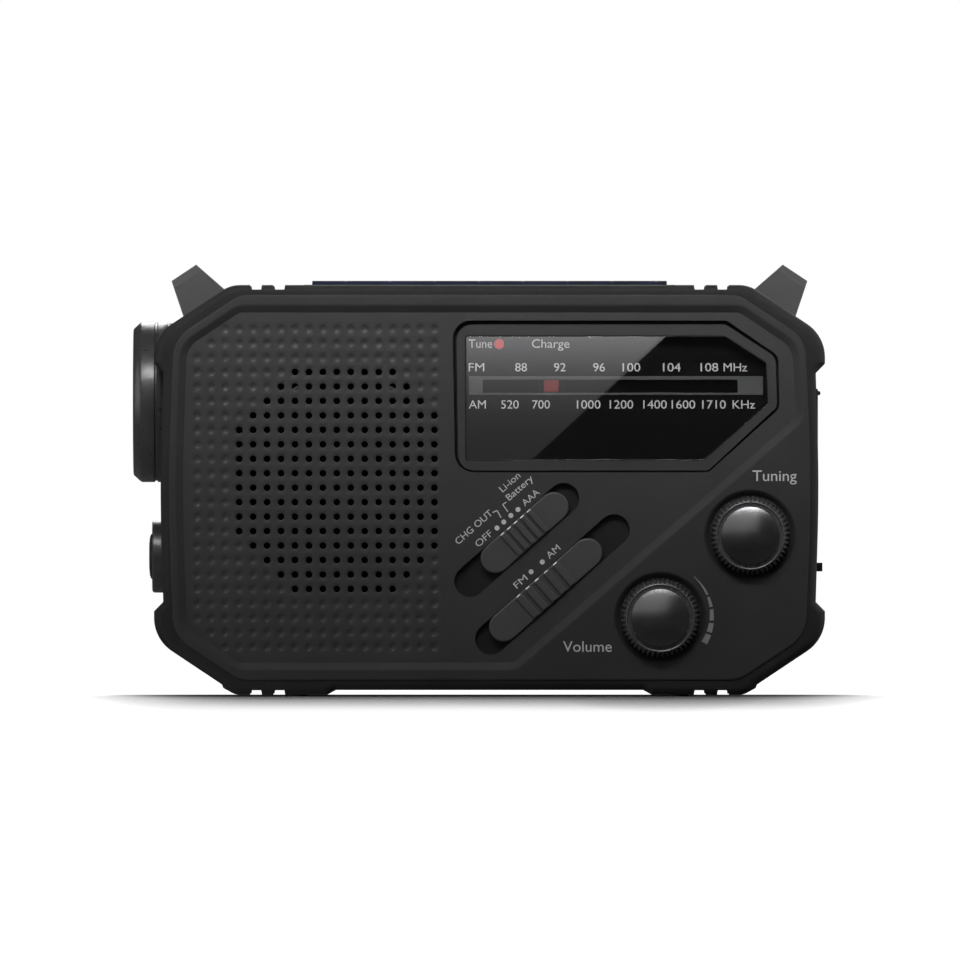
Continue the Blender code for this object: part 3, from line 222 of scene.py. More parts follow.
# Stage, in metres and watts
LIGHTS = [  # name, centre, target, size, power, spread in degrees
    ("key", (-0.02, -0.20, 0.25), (0.0, -0.03, 0.15), (0.45, 0.05), 0.36, 70.0),
    ("softbox", (-0.22, -0.74, 0.42), (0.02, -0.03, 0.05), (1.0, 0.65), 0.81, 180.0),
    ("bounce", (-0.16, -0.05, -0.06), (-0.08, -0.01, 0.03), (0.12, 0.12), 0.15, 180.0),
    ("left", (-0.75, -0.10, 0.16), (0.0, 0.0, 0.05), (0.5, 0.5), 1.2, 180.0),
    ("right", (0.75, 0.05, 0.30), (0.0, 0.0, 0.05), (0.5, 0.5), 4.0, 180.0),
    ("back", (0.15, 0.85, 0.55), (0.0, 0.0, 0.05), (0.8, 0.5), 6.5, 180.0),
]
AMBIENT = 0.04
SHADOW_REACH = 0.024
SHADOW_DEPTH = 5.0
FLOOR_HALF = 4.0
FLOOR_ROWS = [  # y, z
    (3.5, 0.0), (-0.026, 0.0), (-0.034, -0.0009), (-0.045, -0.0032), (-0.06, -0.007), (-0.10, -0.018),
    (-0.5, -0.12), (-3.0, -0.8),
]
CAMERA_DISTANCE = 8.0
PICTURE_WIDTH = 0.240  # at the radio's front

# The cards that the dial window mirrors, in body millimetres, and the camera's aim
CARD_Y = -420.0
LIT_CARD = [(-20.0, 96.6), (51.3, 96.6), (6.4, 54.9), (-20.0, 54.9)]
DARK_CARD = [
    (51.3, 96.6), (90.0, 96.6), (90.0, 40.0), (-20.0, 40.0), (-20.0, 54.9), (6.4, 54.9),
]
CARD_FADE_Z = (55.0, 94.0)
CARD_FADE = 3.5
CARD_LEVELS = (0.10, 1.0)
AIM_X = -2.375
AIM_Z = 54.125

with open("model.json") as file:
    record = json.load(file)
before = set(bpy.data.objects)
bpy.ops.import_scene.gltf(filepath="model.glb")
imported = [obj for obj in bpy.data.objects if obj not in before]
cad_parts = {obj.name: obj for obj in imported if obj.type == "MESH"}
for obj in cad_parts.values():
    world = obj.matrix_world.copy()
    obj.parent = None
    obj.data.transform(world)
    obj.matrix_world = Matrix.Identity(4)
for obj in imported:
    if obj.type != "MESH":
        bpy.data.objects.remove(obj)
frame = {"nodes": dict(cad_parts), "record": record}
CAD_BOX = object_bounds()
SHIFT = Vector(CAD_BOX[0]) - BODY_LOW * MM
drawn = set()  # the CAD nodes that a drawn piece stands for


# Geometry helpers


def place(x, y, z):
    """Body millimetres to the frame's metres."""
    return Vector((x, y, z)) * MM + SHIFT


def linked(name, data):
    """A new object in the scene."""
    obj = bpy.data.objects.new(name, data)
    bpy.context.scene.collection.objects.link(obj)
    return obj


def as_object(bm, name="shape"):
    """A bmesh made into an object, which ends the bmesh."""
    mesh = bpy.data.meshes.new(name)
    bm.to_mesh(mesh)
    bm.free()
    return linked(name, mesh)


def mesh_object(bm, name="shape"):
    """The same, with every face turned outwards."""
    bmesh.ops.recalc_face_normals(bm, faces=bm.faces)
    return as_object(bm, name)


def curve_mesh(name, curve):
    """The mesh of a curve or a text."""
    obj = linked(name, curve)
    bpy.context.view_layer.update()
    graph = bpy.context.evaluated_depsgraph_get()
    mesh = bpy.data.meshes.new_from_object(obj.evaluated_get(graph))
    bpy.data.objects.remove(obj)
    return mesh


def baked(obj):
    """The object with its modifiers made into its mesh."""
    bpy.context.view_layer.update()
    graph = bpy.context.evaluated_depsgraph_get()
    mesh = bpy.data.meshes.new_from_object(obj.evaluated_get(graph))
    obj.modifiers.clear()
    obj.data = mesh
    return obj


def soften(obj, width=0.15, segments=2, angle=40):
    """Rounds the sharp edges, and shades flat faces flat."""
    mesh = obj.data
    bm = bmesh.new()
    bm.from_mesh(mesh)
    bmesh.ops.remove_doubles(bm, verts=bm.verts, dist=0.000003)
    bmesh.ops.dissolve_limit(bm, angle_limit=math.radians(0.6), verts=bm.verts, edges=bm.edges)
    bm.to_mesh(mesh)
    bm.free()
    mesh.shade_smooth()
    if width > 0:
        bevel = obj.modifiers.new("edge", "BEVEL")
        bevel.width = width * MM
        bevel.segments = segments
        bevel.limit_method = "ANGLE"
        bevel.angle_limit = math.radians(angle)
        bevel.harden_normals = False
        baked(obj)
        obj.data.shade_smooth()
    obj.data.set_sharp_from_angle(angle=math.radians(angle))
    return even_normals(obj, 80)


def even_normals(obj, weight):
    """Normals that follow the larger faces."""
    weighted = obj.modifiers.new("even", "WEIGHTED_NORMAL")
    weighted.keep_sharp = True
    weighted.weight = weight
    return baked(obj)


def finish_piece(obj, name, paint, *nodes, body="cabinet", slot="satin_black_plastic"):
    """Names a piece, paints it, fixes it to its body and lets it stand for its CAD nodes."""
    obj.name = name
    obj.data.name = name
    obj.data.materials.clear()
    obj.data.materials.append(paint)
    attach(obj, body)
    if nodes:
        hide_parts(*nodes)
        drawn.update(nodes)


def rounded(corners, steps=10):
    """A closed outline through corners (x, z, radius), each rounded by an arc."""
    points = []
    for index, (x, z, radius) in enumerate(corners):
        here = Vector((x, z))
        before = (Vector(corners[index - 1][:2]) - here).normalized()
        after = (Vector(corners[(index + 1) % len(corners)][:2]) - here).normalized()
        half = before.angle(after) / 2
        if radius <= 0 or half > math.radians(89.9):
            points.append((x, z))
            continue
        centre = here + (before + after).normalized() * (radius / math.sin(half))
        reach = radius / math.tan(half)
        start = here + before * reach - centre
        turn = start.angle_signed(here + after * reach - centre)
        for step in range(steps + 1):
            spoke = Matrix.Rotation(-turn * step / steps, 2) @ start
            points.append(tuple(centre + spoke))
    return points


def grown(corners, distance):
    """The corners of an outline moved outwards by a distance, or inwards if it is negative."""
    edges = []
    for index, corner in enumerate(corners):
        start = Vector(corner[:2])
        along = (Vector(corners[(index + 1) % len(corners)][:2]) - start).normalized()
        edges.append((start + Vector((along.y, -along.x)) * distance, along))
    result = []
    for index, corner in enumerate(corners):
        start, along = edges[index - 1]
        other, other_along = edges[index]
        cross = along.cross(other_along)
        point = start + along * ((other - start).cross(other_along) / cross)
        radius = corner[2]
        if radius > 0:
            radius = max(0.1, radius + (distance if cross > 0 else -distance))
        result.append((point.x, point.y, radius))
    return result


def mirrored_cabinet():
    """The case's outline, the same on all four sides."""
    top = 2 * MIDDLE_Z
    quarter = CABINET_QUARTER
    return [
        (CABINET_SIDE, MIDDLE_Z, BOW),
        *quarter,
        *[(-x, z, r) for x, z, r in reversed(quarter)],
        (-CABINET_SIDE, MIDDLE_Z, BOW),
        *[(-x, top - z, r) for x, z, r in quarter],
        *[(x, top - z, r) for x, z, r in reversed(quarter)],
    ]


def whole_bumper():
    """The rubber's outline, with its thicker corner blocks."""
    return [
        (BUMPER_SIDE, MIDDLE_Z, BOW),
        *BUMPER_UPPER,
        *[(-x, z, r) for x, z, r in reversed(BUMPER_UPPER)],
        (-BUMPER_SIDE, MIDDLE_Z, BOW),
        *[(-x, z, r) for x, z, r in reversed(BUMPER_LOWER)],
        *BUMPER_LOWER,
    ]


CABINET = mirrored_cabinet()
BUMPER = whole_bumper()


def loft(rings):
    """A solid through outlines of the same number of points, each at its Y."""
    bm = bmesh.new()
    rows = [[bm.verts.new(place(x, y, z)) for x, z in outline] for outline, y in rings]
    count = len(rows[0])
    for row, following in zip(rows, rows[1:]):
        for i in range(count):
            j = (i + 1) % count
            bm.faces.new((row[i], row[j], following[j], following[i]))
    bm.faces.new(rows[0])
    bm.faces.new(rows[-1])
    return mesh_object(bm)


def plate(outlines, y):
    """A flat plate between two Y planes: a filled 2D curve, whose further outlines are holes."""
    curve = bpy.data.curves.new("plate", "CURVE")
    curve.dimensions = "2D"
    curve.fill_mode = "BOTH"
    curve.extrude = (y[1] - y[0]) / 2 * MM
    for outline in outlines:
        spline = curve.splines.new("POLY")
        spline.points.add(len(outline) - 1)
        spline.use_cyclic_u = True
        for point, (x, z) in zip(spline.points, outline):
            point.co = (x * MM, z * MM, 0.0, 1.0)
    bm = bmesh.new()
    bm.from_mesh(curve_mesh("plate", curve))
    bmesh.ops.remove_doubles(bm, verts=bm.verts, dist=0.000002)
    turn = Matrix.Translation(place(0, (y[0] + y[1]) / 2, 0)) @ Matrix.Rotation(math.pi / 2, 4, "X")
    bmesh.ops.transform(bm, matrix=turn, verts=bm.verts)
    return mesh_object(bm)


def block(x, y, z):
    """A box between two places on each axis."""
    bm = bmesh.new()
    low, high = place(x[0], y[0], z[0]), place(x[1], y[1], z[1])
    size = high - low
    matrix = Matrix.Translation((low + high) / 2) @ Matrix.Diagonal((*size, 1.0))
    bmesh.ops.create_cube(bm, size=1.0, matrix=matrix)
    return mesh_object(bm)


AXES = {
    "X": Matrix.Rotation(math.pi / 2, 4, "Y"),
    "Y": Matrix.Rotation(-math.pi / 2, 4, "X"),
    "Z": Matrix.Identity(4),
}


def lathe(axis, across, profile, steps=96):
    """A closed profile of (radius, place on the axis) points, turned about an axis."""
    bm = bmesh.new()
    rows = []
    for radius, along in profile:
        if radius < 1e-6:
            rows.append([bm.verts.new((0, 0, along * MM))])
            continue
        ring = []
        for step in range(steps):
            angle = 2 * math.pi * step / steps
            x, y = radius * math.cos(angle), radius * math.sin(angle)
            ring.append(bm.verts.new((x * MM, y * MM, along * MM)))
        rows.append(ring)
    pairs = list(zip(rows, rows[1:]))
    if len(rows[0]) > 1 and len(rows[-1]) > 1:
        pairs.append((rows[-1], rows[0]))
    for row, following in pairs:
        for i in range(steps):
            j = (i + 1) % steps
            around = ((row, i), (row, j), (following, j), (following, i))
            corners = [ring[k % len(ring)] for ring, k in around]
            corners = list(dict.fromkeys(corners))
            if len(corners) > 2:
                bm.faces.new(corners)
    if axis == "X":
        centre = place(0, across[0], across[1])
    elif axis == "Y":
        centre = place(across[0], 0, across[1])
    else:
        centre = place(across[0], across[1], 0)
    bmesh.ops.transform(bm, matrix=Matrix.Translation(centre) @ AXES[axis], verts=bm.verts)
    obj = mesh_object(bm)
    obj.data.shade_smooth()
    obj.data.set_sharp_from_angle(angle=math.radians(LATHE_SHARP))
    return obj


def rod(axis, span, across, radius, steps=48, edge=0.2):
    """A round bar with a small rounded edge at each end."""
    low, high = span
    inset = radius - edge
    middle = edge * ARC_MIDDLE
    profile = [(0.0, low), (inset, low), (radius - middle, low + middle), (radius, low + edge)]
    profile += [(radius, high - edge), (radius - middle, high - middle), (inset, high), (0.0, high)]
    return lathe(axis, across, profile, steps)


def combine(obj, other, operation):
    """A Boolean made into the mesh, after which its operand is gone."""
    modifier = obj.modifiers.new("combine", "BOOLEAN")
    modifier.operation = operation
    modifier.solver = "EXACT"
    modifier.object = other
    baked(obj)
    bpy.data.objects.remove(other)
    return obj


def cut(obj, *others):
    for other in others:
        combine(obj, other, "DIFFERENCE")
    return obj


def merged(objects):
    """Several meshes as one piece, with no Boolean."""
    bm = bmesh.new()
    for obj in objects:
        bm.from_mesh(obj.data)
        bpy.data.objects.remove(obj)
    return as_object(bm)


def slide_axes():
    """Unit vectors along and across the slide switches."""
    along = Vector((math.cos(SLIDE_ANGLE), math.sin(SLIDE_ANGLE)))
    return along, Vector((-along.y, along.x))


def stadium(centre, between, width, steps=18):
    """A long hole in line with the slide switches, from the distance between its arcs' centres."""
    along, _ = slide_axes()
    points = []
    for end in (1, -1):
        middle = Vector(centre) + along * (between / 2 * end)
        start = SLIDE_ANGLE - end * math.pi / 2
        for step in range(steps + 1):
            a = start + math.pi * step / steps
            points.append((middle.x + width / 2 * math.cos(a), middle.y + width / 2 * math.sin(a)))
    return points


def slanted(centre, half_length, half_width):
    """A rectangle in line with the slide switches."""
    along, across = slide_axes()
    corners = ((-1, -1), (1, -1), (1, 1), (-1, 1))
    return [
        tuple(Vector(centre) + along * (a * half_length) + across * (b * half_width))
        for a, b in corners
    ]


# Materials


def grey(level, blue=0.0):
    return (level, level, level + blue)


def add_node(tree, kind, inputs=None, **settings):
    """A node with its settings made, and its inputs given numbers or linked to sockets."""
    node = tree.nodes.new(kind)
    for key, value in settings.items():
        setattr(node, key, value)
    for key, value in (inputs or {}).items():
        if isinstance(value, bpy.types.NodeSocket):
            tree.links.new(value, node.inputs[key])
        else:
            node.inputs[key].default_value = value
    return node


def map_range(tree, value, low, high, start=0.0, end=1.0):
    """A value that runs from start to end, mapped to run from low to high."""
    inputs = {"Value": value, "From Min": start, "From Max": end, "To Min": low, "To Max": high}
    return add_node(tree, "ShaderNodeMapRange", inputs).outputs["Result"]


class Nodes:
    """A material's node tree, with short calls for the nodes that the materials here share."""

    def __init__(self, name, colour, roughness, metallic=0.0):
        self.material = bpy.data.materials.new(name)
        self.material.use_nodes = True
        self.tree = self.material.node_tree
        self.shader = self.tree.nodes["Principled BSDF"]
        self.value("Base Color", (*colour, 1.0))
        self.value("Roughness", roughness)
        self.value("Metallic", metallic)
        self.material.diffuse_color = (*colour, 1.0)
        self.where = self.add("ShaderNodeTexCoord").outputs["Object"]

    def add(self, kind, inputs=None, **settings):
        return add_node(self.tree, kind, inputs, **settings)

    def link(self, source, name):
        self.tree.links.new(source, self.shader.inputs[name])

    def value(self, name, number):
        self.shader.inputs[name].default_value = number

    def noise(self, size_mm, detail=3.0, roughness=0.5, stretch=None):
        """Noise whose features are about so many millimetres across."""
        source = self.where
        if stretch is not None:
            inputs = {"Vector": source, "Scale": stretch}
            source = self.add("ShaderNodeMapping", inputs).outputs["Vector"]
        inputs = {"Vector": source, "Scale": 1000.0 / size_mm, "Detail": detail, "Roughness": roughness}
        return self.add("ShaderNodeTexNoise", inputs).outputs["Fac"]

    def cells(self, size_mm):
        inputs = {"Vector": self.where, "Scale": 1000.0 / size_mm}
        return self.add("ShaderNodeTexVoronoi", inputs).outputs["Distance"]

    def spread(self, value, low, high):
        """The usual range of a noise, mapped to a range."""
        return map_range(self.tree, value, low, high, 0.25, 0.75)

    def blend(self, factor, first, second):
        inputs = {"A": (*first, 1.0), "B": (*second, 1.0), "Factor": factor}
        return self.add("ShaderNodeMix", inputs, data_type="RGBA").outputs["Result"]

    def math(self, operation, first, second):
        return self.add("ShaderNodeMath", {0: first, 1: second}, operation=operation).outputs["Value"]

    def bump(self, height, depth_mm):
        """Bumps of a height in millimetres."""
        inputs = {"Strength": 1.0, "Distance": depth_mm * MM, "Height": height}
        self.link(self.add("ShaderNodeBump", inputs).outputs["Normal"], "Normal")

    def colour(self, socket):
        self.link(socket, "Base Color")

    def roughness(self, socket):
        self.link(socket, "Roughness")


def grained_plastic(name, dark, light, roughness, grain_mm, depth_mm, specular=0.5):
    """Moulded plastic: a spark-eroded grain with slow changes of tone and gloss."""
    paint = Nodes(name, dark, roughness)
    paint.value("Specular IOR Level", specular)
    slow = paint.noise(14.0, 4.0)
    paint.colour(paint.blend(paint.spread(slow, 0.0, 1.0), dark, light))
    paint.roughness(paint.spread(paint.noise(2.2, 3.0), roughness - 0.05, roughness + 0.06))
    paint.bump(paint.noise(grain_mm, 2.0, 0.6), depth_mm)
    return paint.material


def gloss_plastic(name, colour, roughness):
    """Smooth, shiny plastic with a slight unevenness."""
    paint = Nodes(name, colour, roughness)
    paint.value("IOR", PLASTIC_INDEX)
    paint.roughness(paint.spread(paint.noise(5.0, 4.0), roughness, roughness + 0.08))
    paint.bump(paint.noise(3.5, 1.0), 0.004)
    return paint.material


def dark_chrome(name, colour, roughness):
    """A lacquered, nearly black metallic finish."""
    paint = Nodes(name, colour, roughness, 1.0)
    paint.roughness(paint.spread(paint.noise(3.0, 4.0), roughness - 0.02, roughness + 0.05))
    paint.bump(paint.noise(2.5, 1.0), 0.002)
    return paint.material


def lit_lamp(name, colour, strength):
    """A small moulded lamp that is on."""
    paint = Nodes(name, colour, 0.3)
    paint.value("Emission Color", (*colour, 1.0))
    paint.value("Emission Strength", strength)
    paint.bump(paint.noise(1.5, 2.0), 0.01)
    return paint.material


def printed_ink(name, colour, glow=0.0):
    """Screen-printed ink: slightly uneven cover and a faintly rough surface; a glow above zero is painted
    light that keeps the print bright where it lies in shade.
    """
    paint = Nodes(name, colour, 0.55)
    paint.value("Emission Color", (*colour, 1.0))
    paint.value("Emission Strength", glow)
    paler = tuple(min(1.0, c * 1.15) for c in colour)
    paint.colour(paint.blend(paint.spread(paint.noise(0.35, 3.0), 0.0, 1.0), colour, paler))
    paint.bump(paint.noise(0.12, 2.0), 0.006)
    return paint.material


def brushed_metal(name, colour, roughness, stretch):
    """Metal with fine lines along the axes that are stretched least."""
    paint = Nodes(name, colour, roughness, 1.0)
    lines = paint.noise(0.5, 4.0, 0.6, stretch)
    paint.roughness(paint.spread(lines, roughness - 0.06, roughness + 0.10))
    paint.bump(lines, 0.004)
    return paint.material


def lens_material(name, tint, alpha, metallic):
    """A moulded window, smoked or clear: what is behind shows through its alpha, and it mirrors."""
    paint = Nodes(name, tint, 0.01, metallic)
    paint.value("Alpha", alpha)
    paint.roughness(paint.spread(paint.noise(9.0, 3.0), 0.004, 0.014))
    return paint.material


def solar_material():
    """Blue-black cells with silver bus bars and fine fingers, under clear resin."""
    paint = Nodes("solar_cells", (0.004, 0.006, 0.014), 0.42)
    paint.value("Coat Weight", 0.12)
    paint.value("Coat Roughness", 0.28)
    paint.value("Specular IOR Level", 0.18)
    place_on_panel = paint.add("ShaderNodeSeparateXYZ", {"Vector": paint.where})
    normal = paint.add("ShaderNodeNewGeometry").outputs["Normal"]
    faces_up = paint.add("ShaderNodeSeparateXYZ", {"Vector": normal}).outputs["Z"]

    def stripe(axis, pitch_mm, width_mm):
        """1 on thin lines at a pitch along an axis, and 0 between them."""
        from_line = paint.math("PINGPONG", place_on_panel.outputs[axis], pitch_mm * MM / 2)
        return paint.math("LESS_THAN", from_line, width_mm * MM / 2)

    lines = paint.math("MAXIMUM", stripe("X", *SOLAR_BARS), stripe("Y", *SOLAR_FINGERS))
    shade = paint.spread(paint.cells(5.0), 0.0, 1.0)
    crystals = paint.blend(shade, (0.003, 0.005, 0.013), (0.006, 0.010, 0.028))
    silver = (0.30, 0.31, 0.32, 1.0)
    inputs = {"A": crystals, "B": silver, "Factor": paint.math("MULTIPLY", lines, faces_up)}
    paint.colour(paint.add("ShaderNodeMix", inputs, data_type="RGBA").outputs["Result"])
    return paint.material


def board_material():
    """Green solder mask over copper tracks."""
    paint = Nodes("solder_mask", (0.01, 0.10, 0.04), 0.35)
    tracks = paint.noise(3.0, 0.0, 0.5, (1.0, 1.0, 6.0))
    cover = paint.spread(tracks, 0.0, 1.0)
    paint.colour(paint.blend(cover, (0.008, 0.09, 0.035), (0.02, 0.16, 0.06)))
    paint.bump(tracks, 0.03)
    return paint.material


SATIN = grained_plastic("satin_abs", grey(0.0235, 0.0005), grey(0.0285, 0.0005), 0.55, 0.22, 0.020, 0.32)
FRAME_SATIN = grained_plastic(
    "frame_abs", grey(0.0225, 0.0005), grey(0.0275, 0.0005), 0.62, 0.22, 0.020, 0.22
)
RUBBER = grained_plastic(
    "moulded_rubber", grey(0.012, 0.0005), grey(0.016, 0.0005), 0.75, 0.14, 0.020, 0.18
)
SLIDER_PLASTIC = grained_plastic("slider_abs", grey(0.040, 0.001), grey(0.046, 0.001), 0.46, 0.20, 0.014)
LUG_PLASTIC = grained_plastic("lug_abs", grey(0.036, 0.0015), grey(0.042, 0.0015), 0.55, 0.20, 0.016, 0.35)
KNURL_PLASTIC = grained_plastic("knurl_abs", grey(0.046, 0.001), grey(0.054, 0.001), 0.28, 0.20, 0.004, 0.8)
GLOSS = gloss_plastic("gloss_black", grey(0.010, 0.001), 0.16)
TORCH_SATIN = grained_plastic("torch_abs", grey(0.022, 0.001), grey(0.026, 0.001), 0.30, 0.25, 0.004)
CAP_GLOSS = dark_chrome("knob_cap_gloss", grey(0.23, 0.005), 0.23)
DIAL_BLACK = grained_plastic("dial_black", grey(0.004, 0.0005), grey(0.006, 0.0005), 0.6, 1.5, 0.001, 0.3)
TRAY_BLACK = grained_plastic("tray_black", grey(0.016, 0.001), grey(0.020, 0.001), 0.5, 0.3, 0.010)
SLOT_GREY = grained_plastic("slot_grey", (0.30, 0.302, 0.306), (0.35, 0.352, 0.356), 0.5, 0.3, 0.004)
SLOT_SHADE = grained_plastic("slot_shade", grey(0.09, 0.002), grey(0.10, 0.002), 0.6, 0.3, 0.004)
# Painted shade: the switch recesses' floors get a darker copy of the face's plastic.
RECESS_PAINTED_SHADE = grained_plastic(
    "recess_painted_shade", grey(0.009, 0.0005), grey(0.011, 0.0005), 0.6, 0.25, 0.01, 0.2
)
INK = printed_ink("pale_ink", grey(0.80, 0.01))
# The dial's print glows: painted light that keeps it bright in the shade under the window.
DIAL_INK_PAINTED_GLOW = printed_ink("dial_ink_painted_glow", grey(0.80, 0.01), 0.75)
LABEL_INK = printed_ink("label_ink", grey(0.42, 0.005))
WEDGE_INK = printed_ink("wedge_ink", grey(0.17, 0.002))
RED = gloss_plastic("red_plastic", (0.75, 0.12, 0.12), 0.35)
LAMP_RED = lit_lamp("lit_red_lamp", (0.80, 0.10, 0.10), 0.9)
WINDOW_CLEAR = lens_material("dial_window", grey(0.40, 0.01), 0.35, 1.0)
TORCH_CLEAR = lens_material("torch_window", (0.75, 0.77, 0.80), 0.16, 0.0)
STEEL = brushed_metal("plated_steel", (0.52, 0.53, 0.54), 0.34, grey(1.0, 11.0))
CHROME = brushed_metal("chrome", (0.78, 0.79, 0.80), 0.10, grey(1.0))
BRASS = brushed_metal("brass", (0.60, 0.42, 0.17), 0.30, (8.0, 1.0, 8.0))
ACETAL = grained_plastic("white_acetal", (0.66, 0.65, 0.61), (0.72, 0.71, 0.67), 0.42, 0.4, 0.006)
MILKY = grained_plastic("milky_plastic", (0.60, 0.61, 0.58), (0.66, 0.67, 0.64), 0.35, 0.5, 0.006)
PAPER = grained_plastic("speaker_paper", grey(0.018), grey(0.030, -0.001), 0.88, 0.6, 0.06, 0.3)
CLOTH = grained_plastic("grille_cloth", grey(0.003), grey(0.005), 0.95, 0.25, 0.05, 0.1)
FERRITE = grained_plastic("ferrite", (0.035, 0.033, 0.031), (0.055, 0.052, 0.05), 0.6, 0.5, 0.03)
SLEEVE = gloss_plastic("cell_sleeve", (0.03, 0.09, 0.24), 0.25)
SOLAR = solar_material()
BOARD = board_material()


# Front


def is_open(row, column):
    """The middle of the grille is open, in a rough circle of rows."""
    first, last = OPEN_CELLS
    if not first <= row <= last:
        return False
    less = max(0, round(abs(row - (first + last) / 2) - 0.5) - OPEN_STRAIGHT)
    return first + less <= column <= min(GRILLE_COLUMNS, last - less)


def first_column(row):
    """The grille's outer corners are cut off in steps."""
    edge = min(row - 1, GRILLE_ROWS - row)
    return max(1, CORNER_STEPS - edge)


def grille_cell(bm, x, z, kind):
    """One cell of the grille: a flat square round a hole or a dimple."""
    half = (GRILLE_PITCH[0] / 2, GRILLE_PITCH[1] / 2)
    corner = math.degrees(math.atan2(half[1], half[0]))
    turns = set()
    for turn in (0, 15, 30, corner, 60, 75, 90):
        turns |= {turn, 180 - turn, (180 + turn) % 360, (360 - turn) % 360}
    turns = sorted(turns)
    edge = []
    for turn in turns:
        c, s = math.cos(math.radians(turn)), math.sin(math.radians(turn))
        reach = min(half[0] / max(abs(c), 1e-9), half[1] / max(abs(s), 1e-9))
        edge.append(bm.verts.new(place(x + c * reach, FACE_Y, z + s * reach)))
    if kind == "hole":
        rings = [(HOLE_RADIUS + wider, deep) for wider, deep in HOLE_LIP]
        rings.append((HOLE_RADIUS, FACE_BACK_Y - FACE_Y))
    else:
        rings = [(DIMPLE_RADIUS + 0.10, 0.0), (DIMPLE_RADIUS, DIMPLE_LIP)]
        for share in (0.8, 0.55, 0.28):
            rings.append((DIMPLE_RADIUS * share, DIMPLE_LIP + DIMPLE_DEPTH * (1 - share * share)))
    before = edge
    for radius, deep in rings:
        ring = []
        for turn in turns:
            c, s = math.cos(math.radians(turn)), math.sin(math.radians(turn))
            ring.append(bm.verts.new(place(x + c * radius, FACE_Y + deep, z + s * radius)))
        for i in range(len(ring)):
            j = (i + 1) % len(ring)
            bm.faces.new((before[i], before[j], ring[j], ring[i]))
        before = ring
    if kind == "dimple":
        bm.faces.new(before)


def grille():
    """All the grille's cells as one sheet."""
    bm = bmesh.new()
    for row in range(1, GRILLE_ROWS + 1):
        for column in range(first_column(row), GRILLE_COLUMNS + 1):
            x = GRILLE_FIRST[0] + (column - 1) * GRILLE_PITCH[0]
            z = GRILLE_FIRST[1] - (row - 1) * GRILLE_PITCH[1]
            grille_cell(bm, x, z, "hole" if is_open(row, column) else "dimple")
    bmesh.ops.remove_doubles(bm, verts=bm.verts, dist=0.000004)
    bmesh.ops.recalc_face_normals(bm, faces=bm.faces)
    if sum(face.normal.y * face.calc_area() for face in bm.faces) > 0:
        bmesh.ops.reverse_faces(bm, faces=bm.faces)
    obj = as_object(bm, "grille")
    obj.data.shade_smooth()
    obj.data.set_sharp_from_angle(angle=math.radians(30))
    return even_normals(obj, 50)


def grille_outline():
    """The stepped outline round all the grille's cells."""
    low_x = GRILLE_FIRST[0] - GRILLE_PITCH[0] / 2
    high_x = low_x + GRILLE_COLUMNS * GRILLE_PITCH[0]
    high_z = GRILLE_FIRST[1] + GRILLE_PITCH[1] / 2
    points = [(high_x, high_z)]
    for row in range(1, GRILLE_ROWS + 1):
        left = low_x + (first_column(row) - 1) * GRILLE_PITCH[0]
        points.append((left, high_z - (row - 1) * GRILLE_PITCH[1]))
        points.append((left, high_z - row * GRILLE_PITCH[1]))
    points.append((high_x, high_z - GRILLE_ROWS * GRILLE_PITCH[1]))
    kept = []
    for index, point in enumerate(points):
        before, after = points[index - 1], points[(index + 1) % len(points)]
        if abs(before[0] - after[0]) > 1e-6 and abs(before[1] - after[1]) > 1e-6:
            kept.append(point)
    return kept


def front_face():
    """The sunk face round the grille, with the window's opening and the two recesses."""
    holes = [grille_outline(), rounded(WINDOW)]
    floors = []
    for centre, between, width in RECESSES.values():
        holes.append(stadium(centre, between, width))
        floors.append(plate([stadium(centre, between, width + 1.0)], (RECESS_FLOOR_Y, FACE_BACK_Y + 0.3)))
    around = plate([rounded(grown(FACE, 1.6)), *holes], (FACE_Y, FACE_BACK_Y))
    soften(around, 0.12, 2, 60)
    finish_piece(around, "front_face", SATIN, "front_panel")
    finish_piece(grille(), "grille", SATIN, "front_panel")
    # The recess floors are painted darker, as shade.
    finish_piece(merged(floors), "recess_floors", RECESS_PAINTED_SHADE, "front_panel")
    cloth = rod("Y", CLOTH_Y, GRILLE_MIDDLE, CLOTH_RADIUS, 64, 0.05)
    finish_piece(cloth, "grille_cloth", CLOTH, slot="speaker_paper")


def knob_dish(x, z):
    """The cutter for a knob's dish, with a rounded lip."""
    return lathe("Y", (x, z), DISH_PROFILE)


def front_frame():
    """The raised frame, its slope down to the face, and the plain corner with the knobs."""
    shell = loft(
        [
            (rounded(grown(CABINET, -0.65)), FRAME_Y),
            (rounded(grown(CABINET, -0.22)), FRAME_Y + 0.10),
            (rounded(grown(CABINET, 0.0)), FRAME_Y + 0.55),
            (rounded(grown(CABINET, 0.0)), SPLIT_Y - 0.15),
        ]
    )
    inside = rounded(grown(CABINET, -WALL))
    cut(shell, loft([(inside, -28.0), (inside, -19.0)]))
    cut(shell, loft([(rounded(grown(FACE, more)), y) for more, y in FACE_SLOPE]))
    for x, z, _ in KNOBS.values():
        cut(shell, knob_dish(x, z))
    soften(shell, 0.0, 1, 32)
    finish_piece(shell, "front_frame", FRAME_SATIN, "front_cabinet")


def notches(y):
    """Cutters for the two grooves near each end of a bumper's upper and lower edges."""
    made = []
    for side in (-1, 1):
        for middle in NOTCH_X:
            for edge, deep in ((BUMPER_TOP, -NOTCH_DEPTH), (BUMPER_BOTTOM, NOTCH_DEPTH)):
                x = side * middle
                outline = [(x - 1.3, edge + deep), (x + 1.3, edge + deep)]
                outline += [(x + 1.7, edge - deep), (x - 1.7, edge - deep)]
                made.append(plate([outline], (y[0] - 1, y[1] + 1)))
    return made


